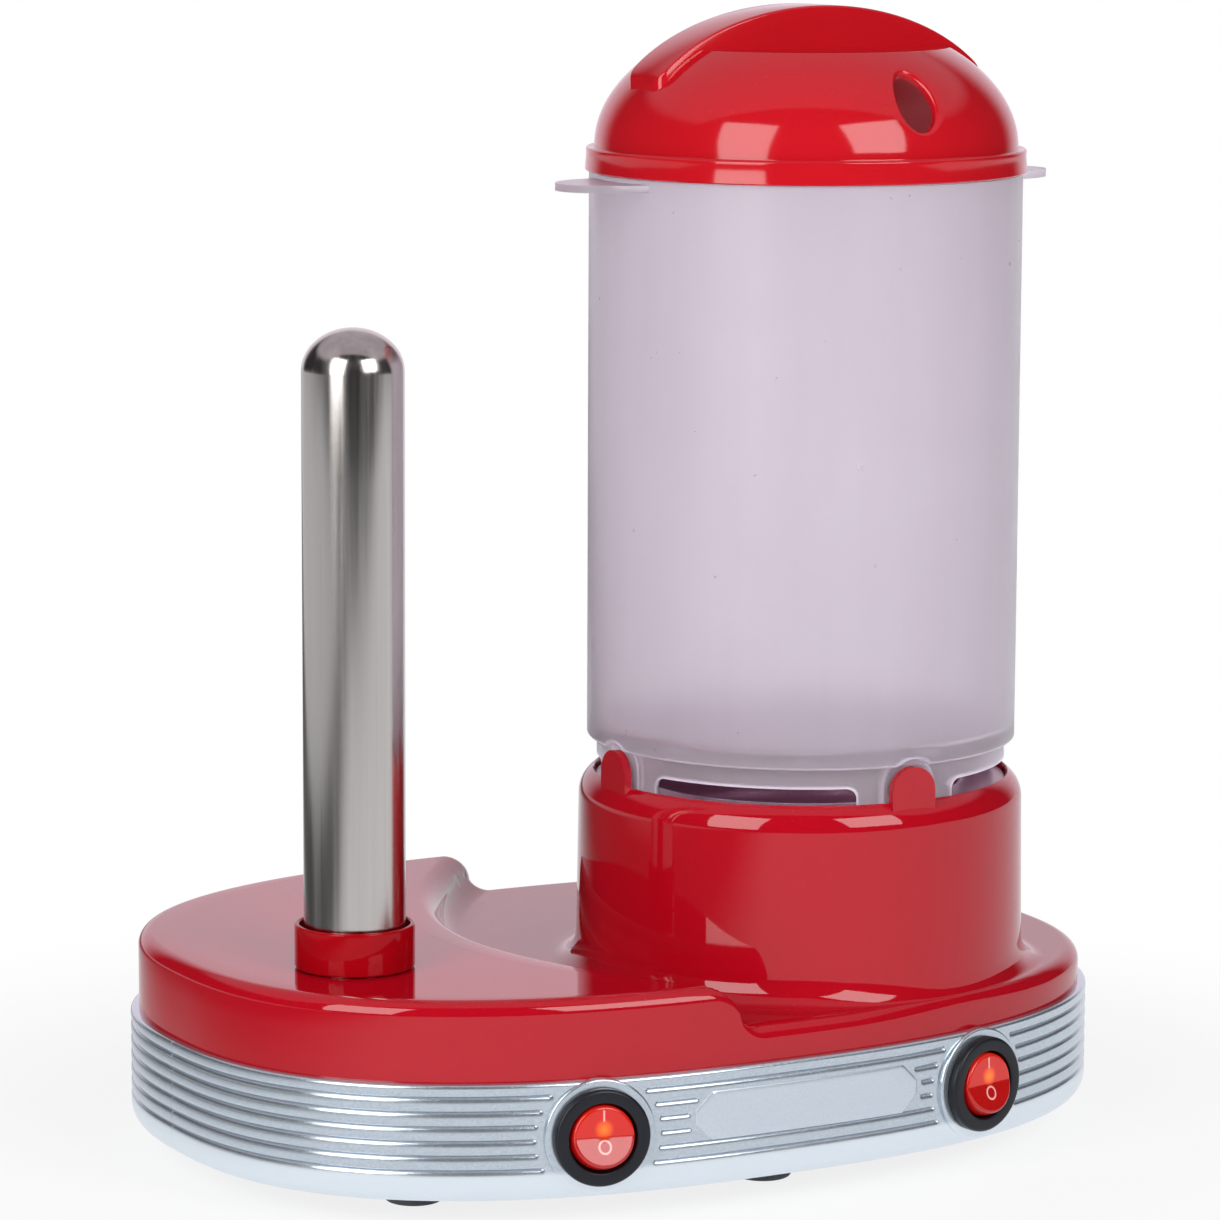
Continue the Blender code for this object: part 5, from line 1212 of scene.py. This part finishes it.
def silver_paint(name, groups, light, dark, roughness):
    """Satin silver paint: two shades of flake under a thin clear layer; below the lowest groove the foot is painted
    lighter as painted sheen for the floor's reflection.
    """
    made, tree, shader = material_of(name, Metallic=0.80, Coat_Weight=0.15, Coat_Roughness=0.12)
    flakes = use_group(tree, groups["flakes"], Light=light, Dark=dark, Base_Roughness=roughness)
    height = node(tree, "SeparateXYZ", {"Vector": place_coordinates(tree)}).outputs["Z"]
    lowest = TOP_GROOVE_Z - RIB_PITCH * (RIB_COUNT - 1)
    # Painted sheen: the paint turns lighter below the lowest groove, standing in for the white floor reflected in the
    # smooth foot
    foot = node(tree, "MapRange", {"Value": height, "From Min": lowest, "From Max": lowest - RIB_PITCH / 2},
                interpolation_type="SMOOTHSTEP").outputs["Result"]
    paint = mix_colour(tree, foot, flakes["Color"], (0.82, 0.89, 0.95, 1))
    dust = use_group(tree, groups["dust"], Color=paint, Amount=0.12)
    tree.links.new(dust["Color"], shader.inputs["Base Color"])
    tree.links.new(flakes["Roughness"], shader.inputs["Roughness"])
    add_bump(tree, shader, flakes["Height"], 0.05, 0.00003)
    return made


def drawn_metal(name, groups, light, dark, roughness, swing, stretch, metallic=1.0, bump=0.05):
    made, tree, shader = material_of(name, Metallic=metallic)
    lines = use_group(tree, groups["drawn"], Light=light, Dark=dark, Base_Roughness=roughness,
                      Roughness_Swing=swing, Stretch=stretch)
    tree.links.new(lines["Color"], shader.inputs["Base Color"])
    tree.links.new(lines["Roughness"], shader.inputs["Roughness"])
    add_bump(tree, shader, lines["Height"], bump, 0.00004)
    return made


def grained(name, groups, light, dark, roughness, scale=2400.0, bump=0.25, **plain):
    made, tree, shader = material_of(name, **plain)
    grain = use_group(tree, groups["grain"], Light=light, Dark=dark, Base_Roughness=roughness, Grain_Scale=scale)
    tree.links.new(grain["Color"], shader.inputs["Base Color"])
    tree.links.new(grain["Roughness"], shader.inputs["Roughness"])
    add_bump(tree, shader, grain["Height"], bump, 0.00005)
    return made


def cut_outline(tree, across, height, half, top, corner):
    """Distance outside a round-cornered cut in the cup's foot."""
    side = math_node(tree, "MAXIMUM", math_node(tree, "SUBTRACT", across, half - corner), 0.0)
    above = math_node(tree, "MAXIMUM", math_node(tree, "SUBTRACT", height, top - corner), 0.0)
    reach = math_node(tree, "SQRT", math_node(tree, "ADD", math_node(tree, "POWER", side, 2.0),
                                              math_node(tree, "POWER", above, 2.0)))
    return math_node(tree, "SUBTRACT", reach, corner)


def painted_cut_highlights(tree, place):
    """Painted highlight lines where the cup's thin foot is cut for the windows and the arched niches, and along its
    lower bend.
    """
    at = node(tree, "VectorMath", {0: place, 1: (STEAMER.x, STEAMER.y, 0)}, operation="SUBTRACT").outputs["Vector"]
    axes = node(tree, "SeparateXYZ", {"Vector": at}).outputs
    turn = math_node(tree, "SUBTRACT", math_node(tree, "ARCTAN2", axes["Y"], axes["X"]), quarter_turns()[0])
    quarter = math_node(tree, "PINGPONG", turn, math.pi / 4)
    near_lug = math_node(tree, "MULTIPLY", quarter, SKIRT_RADIUS)
    near_window = math_node(tree, "MULTIPLY", math_node(tree, "SUBTRACT", math.pi / 4, quarter), SKIRT_RADIUS)
    half = LUG_WIDTH / 2 + NICHE_PLAY
    arched = cut_outline(tree, near_lug, axes["Z"], half, NICHE_TOP, half)
    window_half = SKIRT_RADIUS * WINDOW_HALF_ANGLE
    cut = cut_outline(tree, near_window, axes["Z"], window_half, WINDOW_TOP, (WINDOW_TOP - SKIRT_FOOT) / 2)
    under = FLOOR_TOP - FLOOR_THICKNESS
    span = math_node(tree, "ADD", math_node(tree, "MULTIPLY", axes["X"], axes["X"]),
                     math_node(tree, "MULTIPLY", axes["Y"], axes["Y"]))
    outside = math_node(tree, "GREATER_THAN", span, (SKIRT_RADIUS + GAP * 4) ** 2)
    bend = math_node(tree, "MULTIPLY", between(tree, axes["Z"], under, under + PAINTED_HIGHLIGHT_WIDTH, PAINTED_HIGHLIGHT_WIDTH / 4), outside)
    lines = math_node(tree, "MAXIMUM", between(tree, arched, -PAINTED_HIGHLIGHT_WIDTH / 3, PAINTED_HIGHLIGHT_WIDTH, PAINTED_HIGHLIGHT_WIDTH / 4),
                      between(tree, cut, -PAINTED_HIGHLIGHT_WIDTH / 3, PAINTED_HIGHLIGHT_WIDTH, PAINTED_HIGHLIGHT_WIDTH / 4))
    return math_node(tree, "MAXIMUM", lines, bend)


def milky_plastic(groups):
    """Cloudy polypropylene: light passes through it diffused, with a soft moulding swirl, upright flow streaks and
    painted highlight lines along the foot's cut edges.
    """
    made, tree, shader = material_of("milky_plastic", Transmission_Weight=0.80, IOR=1.32, Emission_Strength=1.0)
    place = place_coordinates(tree)
    swirl = node(tree, "TexNoise", {"Vector": place, "Scale": 26.0, "Detail": 4.0, "Distortion": 0.8})
    upright = node(tree, "VectorMath", {0: place, 1: (150.0, 150.0, 9.0)}, operation="MULTIPLY").outputs["Vector"]
    streaks = node(tree, "TexNoise", {"Vector": upright, "Scale": 1.0, "Detail": 3.0})
    clouds = math_node(tree, "MULTIPLY", math_node(tree, "ADD", swirl.outputs["Fac"], streaks.outputs["Fac"]), 0.5)
    colour = mix_colour(tree, clouds, (0.80, 0.74, 0.80, 1), (0.90, 0.86, 0.91, 1))
    # Painted highlight: thin lighter lines along the foot's cut edges and lower bend
    cut = painted_cut_highlights(tree, place)
    colour = mix_colour(tree, cut, colour, (0.95, 0.93, 0.97, 1))
    wall = use_group(tree, groups["moulding"], Wave_Size=40.0, Base_Roughness=0.24, Roughness_Swing=0.12)
    tree.links.new(colour, shader.inputs["Base Color"])
    # The painted highlight lines also glow faintly
    tree.links.new(mix_colour(tree, cut, (0, 0, 0, 1), (0.13, 0.115, 0.14, 1)), shader.inputs["Emission Color"])
    tree.links.new(wall["Roughness"], shader.inputs["Roughness"])
    add_bump(tree, shader, wall["Height"], 0.2, 0.0002)
    return made


def between(tree, value, low, high, softness):
    """A mask that is 1 while a value lies between two limits, with soft ends."""
    rising = node(tree, "MapRange", {"Value": value, "From Min": low - softness, "From Max": low + softness})
    falling = node(tree, "MapRange", {"Value": value, "From Min": high + softness, "From Max": high - softness})
    return math_node(tree, "MULTIPLY", rising.outputs["Result"], falling.outputs["Result"])


def ring_mask(tree, x, y, centre, outer, inner, softness):
    """A mask of an oval ring about a point of the rocker's face."""
    masks = []
    for half_width, half_height in (outer, inner):
        across = math_node(tree, "DIVIDE", x, half_width)
        up = math_node(tree, "DIVIDE", math_node(tree, "SUBTRACT", y, centre), half_height)
        reach = math_node(tree, "SQRT", math_node(tree, "ADD", math_node(tree, "MULTIPLY", across, across),
                                                  math_node(tree, "MULTIPLY", up, up)))
        falloff = node(tree, "MapRange", {"Value": reach, "From Min": 1 + softness, "From Max": 1 - softness})
        masks.append(falloff.outputs["Result"])
    return math_node(tree, "SUBTRACT", masks[0], masks[1], clamp=True)


def rocker_red(groups):
    """Red see-through plastic lit from inside, with a stroke and a ring as its on and off marks."""
    made, tree, shader = material_of("red_rocker_plastic", Coat_Weight=0.25, Coat_Roughness=0.04,
                                     Emission_Strength=1.0)
    place = node(tree, "Attribute", attribute_name="rocker_place").outputs["Vector"]
    axes = node(tree, "SeparateXYZ", {"Vector": place}).outputs
    x, y, z = axes["X"], axes["Y"], axes["Z"]
    up_front = math_node(tree, "GREATER_THAN", z, ROCKER_RISE - 0.0002)
    stroke = math_node(tree, "MULTIPLY", between(tree, x, -0.00022, 0.00022, 0.00008),
                       between(tree, y, 0.0036, 0.0062, 0.0002))
    ring = ring_mask(tree, x, y, -0.0023, (0.00160, 0.00170), (0.00116, 0.00126), 0.06)
    marks = math_node(tree, "MULTIPLY", math_node(tree, "MAXIMUM", stroke, ring), up_front)
    distance = math_node(tree, "SQRT", math_node(tree, "ADD", math_node(tree, "MULTIPLY", x, x), math_node(
        tree, "POWER", math_node(tree, "ABSOLUTE", math_node(tree, "SUBTRACT", y, 0.0018)), 2.0)))
    spot = node(tree, "MapRange", {"Value": distance, "From Min": 0.0027, "From Max": 0.0},
                interpolation_type="SMOOTHSTEP").outputs["Result"]
    upper = node(tree, "MapRange", {"Value": y, "From Min": -0.0003, "From Max": 0.0003}).outputs["Result"]
    clouds = node(tree, "TexNoise", {"Vector": place, "Scale": 700.0, "Detail": 3.0}).outputs["Fac"]
    base = mix_colour(tree, clouds, (0.42, 0.004, 0.004, 1), (0.50, 0.008, 0.006, 1))
    base = mix_colour(tree, marks, base, (0.74, 0.42, 0.40, 1))
    glow = mix_colour(tree, upper, (0.06, 0.001, 0.001, 1), (0.26, 0.008, 0.001, 1))
    glow = mix_colour(tree, spot, glow, (1.0, 0.22, 0.01, 1))
    glow = mix_colour(tree, marks, glow, (0.26, 0.075, 0.06, 1))
    glow = mix_colour(tree, up_front, (0.05, 0.0, 0.0, 1), glow)
    tree.links.new(base, shader.inputs["Base Color"])
    tree.links.new(glow, shader.inputs["Emission Color"])
    wall = use_group(tree, groups["moulding"], Wave_Size=260.0, Base_Roughness=0.12, Roughness_Swing=0.06)
    tree.links.new(wall["Roughness"], shader.inputs["Roughness"])
    add_bump(tree, shader, wall["Height"], 0.15, 0.0001)
    return made


def make_finishes():
    groups = {"moulding": moulding_group(), "dust": dust_group(), "flakes": flake_group(), "grain": grain_group(),
              "drawn": drawn_group()}
    turned = (260.0, 260.0, 5200.0)
    return {
        "red": gloss_red("red_gloss_plastic", (0.50, 0.0032, 0.0135, 1), (0.45, 0.0024, 0.0105, 1), groups, 0.025),
        "lid": gloss_red("red_lid_plastic", (0.60, 0.0085, 0.0170, 1), (0.55, 0.0062, 0.0130, 1), groups, 0.07),
        "collar": gloss_red("red_collar_plastic", (0.42, 0.0020, 0.0075, 1), (0.37, 0.0016, 0.0060, 1), groups, 0.05,
                            Specular_IOR_Level=0.15),
        "silver": silver_paint("silver_paint", groups, (0.63, 0.70, 0.765, 1), (0.50, 0.56, 0.625, 1), 0.15),
        # The panel is the band's silver paint, made lighter as painted sheen for its smooth face reflecting the floor
        "panel": silver_paint("silver_panel_painted_sheen", groups, (0.70, 0.76, 0.83, 1), (0.63, 0.69, 0.76, 1), 0.26),
        "steel": drawn_metal("polished_steel", groups, (0.70, 0.665, 0.635, 1), (0.40, 0.375, 0.355, 1), 0.03, 0.30,
                             (420.0, 420.0, 7.0)),
        "milky": milky_plastic(groups),
        "pan": drawn_metal("nonstick_coating", groups, (0.38, 0.170, 0.260, 1), (0.29, 0.125, 0.195, 1), 0.20,
                           0.10, (2600.0, 2600.0, 2600.0), 0.2, 0.15),
        "zinc": drawn_metal("zinc_plated_steel", groups, (0.66, 0.66, 0.64, 1), (0.50, 0.50, 0.48, 1), 0.25, 0.2,
                            (800.0, 3000.0, 800.0)),
        "black": grained("black_plastic", groups, (0.011, 0.012, 0.018, 1), (0.006, 0.007, 0.011, 1), 0.26,
                         Specular_IOR_Level=0.34),
        "rocker": rocker_red(groups),
        "rubber": grained("grey_rubber", groups, (0.17, 0.18, 0.20, 1), (0.11, 0.12, 0.135, 1), 0.55, 1600.0, 0.5),
        "grey": grained("grey_base_plastic", groups, (0.23, 0.24, 0.26, 1), (0.17, 0.18, 0.20, 1), 0.42),
        "ceramic": grained("ceramic", groups, (0.86, 0.84, 0.78, 1), (0.74, 0.71, 0.64, 1), 0.5, 900.0, 0.4),
        "sheath": drawn_metal("heater_sheath", groups, (0.44, 0.41, 0.39, 1), (0.28, 0.25, 0.25, 1), 0.35, 0.2,
                              turned, 0.9, 0.3),
        "block": grained("white_block_plastic", groups, (0.79, 0.78, 0.74, 1), (0.68, 0.67, 0.62, 1), 0.4),
        "brown": grained("brown_wire_sleeve", groups, (0.19, 0.07, 0.035, 1), (0.12, 0.045, 0.02, 1), 0.4),
        "blue": grained("blue_wire_sleeve", groups, (0.04, 0.11, 0.40, 1), (0.02, 0.06, 0.28, 1), 0.4),
        "sleeve": grained("white_glass_sleeve", groups, (0.82, 0.81, 0.76, 1), (0.60, 0.58, 0.53, 1), 0.7, 1400.0, 0.9),
        "brass": drawn_metal("tin_plated_brass", groups, (0.72, 0.68, 0.56, 1), (0.56, 0.51, 0.40, 1), 0.25, 0.15,
                             (3000.0, 500.0, 500.0)),
    }


# CAD nodes that stay as they are, with the finish of each
KEPT = {
    "base_plate": "grey", "spike_heater_rod": "sheath", "spike_insulator_lower": "ceramic",
    "spike_insulator_upper": "ceramic", "spike_screw_1": "zinc", "spike_screw_2": "zinc", "spike_screw_3": "zinc",
    "ring_heater": "sheath", "pan_bar": "zinc", "pan_nut": "zinc", "thermostat": "black", "thermal_fuse": "sleeve",
    "switch_tab_left_1": "brass", "switch_tab_left_2": "brass", "switch_tab_left_3": "brass",
    "switch_tab_right_1": "brass", "switch_tab_right_2": "brass", "switch_tab_right_3": "brass",
    "terminal_block": "block", "wire_left_switch": "brown", "wire_right_switch": "blue", "wire_spike": "sleeve",
}


def dress_kept_nodes(finishes):
    for name, finish in KEPT.items():
        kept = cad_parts[name]
        kept.data.materials.clear()
        kept.data.materials.append(finishes[finish])
        for face in kept.data.polygons:
            face.material_index = 0


BACK_WAY = (0.485, 0.875, 0.0)
BACKDROP_EDGE = (0.68, 0.90)
CEILING_LEAN = 1.8
CEILING_EDGE = (-0.06, 0.06)
CEILING_FOOT = (0.46, 0.60)
CEILING_LEVEL = 0.55
TABLE_EDGE = (-1.05, -0.90)
ACROSS_WAY = (0.875, -0.485, 0.0)
TABLE_LEFT = (-0.34, -0.10)
TABLE_LEFT_LEVEL = 0.12
TABLE_FAR_LEFT = (-0.46, -0.62)
ROOM_DIM = 0.04
TABLE_LEVEL = 0.92
FLOOR_HALF = 3.0
FLOOR_FADE = (0.12, 0.28)
FLOOR_SHADOW = 0.17
TABLE_TINT = (0.95, 0.97, 1.0, 1)
BACKDROP_TINT = (1.0, 0.90, 1.0, 1)
WHITE = (1, 1, 1, 1)


def rising(tree, value, edge, low=0.0, high=1.0):
    """A soft step from a low to a high level as a value passes an edge."""
    return node(tree, "MapRange", {"Value": value, "From Min": edge[0], "From Max": edge[1], "To Min": low,
                                   "To Max": high}, interpolation_type="SMOOTHSTEP").outputs["Result"]


def room_light(tree, direction):
    """What gloss sees round the object: a white backdrop behind it, a light ceiling, else a dim room."""
    facing_back = node(tree, "VectorMath", {0: direction, 1: BACK_WAY}, operation="DOT_PRODUCT").outputs["Value"]
    steepness = node(tree, "SeparateXYZ", {"Vector": direction}).outputs["Z"]
    backdrop = rising(tree, facing_back, BACKDROP_EDGE, ROOM_DIM)
    lean = math_node(tree, "ADD", steepness, math_node(tree, "MULTIPLY", facing_back, CEILING_LEAN))
    ceiling = math_node(tree, "MULTIPLY", rising(tree, lean, CEILING_EDGE), rising(tree, steepness, CEILING_FOOT))
    return math_node(tree, "MAXIMUM", backdrop, math_node(tree, "MULTIPLY", ceiling, CEILING_LEVEL))


def table_light(tree, place):
    """The lit table ends in front of the object and is dimmer at its left."""
    towards_back = node(tree, "VectorMath", {0: place, 1: BACK_WAY}, operation="DOT_PRODUCT").outputs["Value"]
    across = node(tree, "VectorMath", {0: place, 1: ACROSS_WAY}, operation="DOT_PRODUCT").outputs["Value"]
    left = math_node(tree, "MAXIMUM", rising(tree, across, TABLE_LEFT, TABLE_LEFT_LEVEL, 1.0),
                     rising(tree, across, TABLE_FAR_LEFT, 0.0, 0.8))
    return math_node(tree, "MULTIPLY", rising(tree, towards_back, TABLE_EDGE, ROOM_DIM, TABLE_LEVEL), left)


def seen_directly(tree):
    """Light path masks: rays from the camera, and rays from it, from gloss or through clear plastic."""
    rays = node(tree, "LightPath").outputs
    direct = math_node(tree, "MAXIMUM", rays["Is Camera Ray"],
                       math_node(tree, "MAXIMUM", rays["Is Glossy Ray"], rays["Is Transmission Ray"]))
    return rays, direct


def stage_floor():
    """A pale floor with the object's soft shadow, which fades into the white backdrop."""
    mesh = bpy.data.meshes.new("floor")
    corners = [(x, y, 0) for x, y in ((-1, -1), (1, -1), (1, 1), (-1, 1))]
    mesh.from_pydata([(x * FLOOR_HALF, y * FLOOR_HALF, z) for x, y, z in corners], [], [(0, 1, 2, 3)])
    floor = bpy.data.objects.new("floor", mesh)
    bpy.context.scene.collection.objects.link(floor)
    made = bpy.data.materials.new("pale_floor")
    made.use_nodes = True
    tree = made.node_tree
    tree.nodes.clear()
    place = place_coordinates(tree)
    reach = node(tree, "VectorMath", {0: place}, operation="LENGTH").outputs["Value"]
    near = node(tree, "MapRange", {"Value": reach, "From Min": FLOOR_FADE[1], "From Max": FLOOR_FADE[0],
                                   "To Max": FLOOR_SHADOW}, interpolation_type="SMOOTHSTEP").outputs["Result"]
    rays, direct = seen_directly(tree)
    glow = math_node(tree, "MAXIMUM", table_light(tree, place),
                     math_node(tree, "MAXIMUM", rays["Is Camera Ray"], rays["Is Transmission Ray"]))
    matt = node(tree, "BsdfDiffuse", {"Color": (0.93, 0.93, 0.94, 1)})
    tint = mix_colour(tree, rays["Is Glossy Ray"], WHITE, TABLE_TINT)
    white = node(tree, "Emission", {"Color": tint, "Strength": glow})
    share = math_node(tree, "MULTIPLY", direct, math_node(tree, "SUBTRACT", 1.0, near))
    mixed = node(tree, "MixShader", {0: share, 1: matt.outputs[0], 2: white.outputs[0]})
    out = node(tree, "OutputMaterial")
    tree.links.new(mixed.outputs[0], out.inputs["Surface"])
    mesh.materials.append(made)


AIM = Vector((0.0, 0.0, 0.12))
LAMP_DISTANCE = 1.2


def softbox(name, azimuth, elevation, size, power):
    """A flat rectangular lamp that faces the object from a direction given in degrees."""
    lamp = bpy.data.lights.new(name, "AREA")
    lamp.shape = "RECTANGLE"
    lamp.size, lamp.size_y = size
    lamp.energy = power
    holder = bpy.data.objects.new(name, lamp)
    bpy.context.scene.collection.objects.link(holder)
    a, e = math.radians(azimuth), math.radians(elevation)
    way = Vector((math.cos(a) * math.cos(e), math.sin(a) * math.cos(e), math.sin(e)))
    holder.location = AIM + way * LAMP_DISTANCE
    holder.rotation_euler = way.to_track_quat("Z", "Y").to_euler()


WORLD_DIFFUSE = 0.60


def studio_light():
    softbox("left_softbox", -153, 22, (0.60, 0.95), 9.0)
    softbox("right_softbox", -80, 27, (0.60, 0.72), 7.0)
    world = bpy.data.worlds.new("studio")
    bpy.context.scene.world = world
    world.use_nodes = True
    tree = world.node_tree
    background = tree.nodes["Background"]
    rays, direct = seen_directly(tree)
    tree.links.new(mix_colour(tree, rays["Is Glossy Ray"], WHITE, BACKDROP_TINT), background.inputs["Color"])
    direction = node(tree, "TexCoord").outputs["Generated"]
    white = math_node(tree, "MAXIMUM", rays["Is Camera Ray"], rays["Is Transmission Ray"])
    room = math_node(tree, "MAXIMUM", room_light(tree, direction), white)
    level = node(tree, "Mix", {0: direct, 2: WORLD_DIFFUSE, 3: 1.0}, data_type="FLOAT").outputs[0]
    tree.links.new(math_node(tree, "MULTIPLY", room, level), background.inputs["Strength"])


CAMERA_PLACE = (-0.6152, -1.1067, 0.3265)
CAMERA_RIGHT = (0.87490, -0.48428, 0.00415)
CAMERA_UP = (0.07083, 0.13642, 0.98812)
CAMERA_FORWARD = (0.47909, 0.86421, -0.15366)
CAMERA_LENS = 154.43
SENSOR = 36.0


def set_camera():
    data = bpy.data.cameras.new("camera")
    data.lens = CAMERA_LENS
    data.sensor_width = SENSOR
    data.sensor_height = SENSOR
    data.clip_start = 0.01
    camera = bpy.data.objects.new("camera", data)
    bpy.context.scene.collection.objects.link(camera)
    back = [-value for value in CAMERA_FORWARD]
    camera.matrix_world = Matrix.Translation(CAMERA_PLACE) @ Matrix((CAMERA_RIGHT, CAMERA_UP, back)).transposed().to_4x4()
    bpy.context.scene.camera = camera


def dress():
    finishes = make_finishes()
    set_camera()
    top_cover(finishes["red"])
    silver_band(finishes["silver"])
    bare_panel(finishes["panel"])
    for side, x in zip(("left", "right"), SWITCH_X):
        switch_body(side, x, finishes["black"])
        rocker(side, x, finishes["rocker"])
    spike_tube(finishes["steel"])
    spike_collar(finishes["collar"])
    heating_pan(finishes["pan"])
    steam_container(finishes["milky"])
    lid(finishes["lid"])
    feet(finishes["rubber"])
    cord_gland(finishes["black"])
    base_screws(finishes["zinc"])
    dress_kept_nodes(finishes)
    stage_floor()
    studio_light()
    bpy.context.scene.view_settings.view_transform = "Standard"


dress()
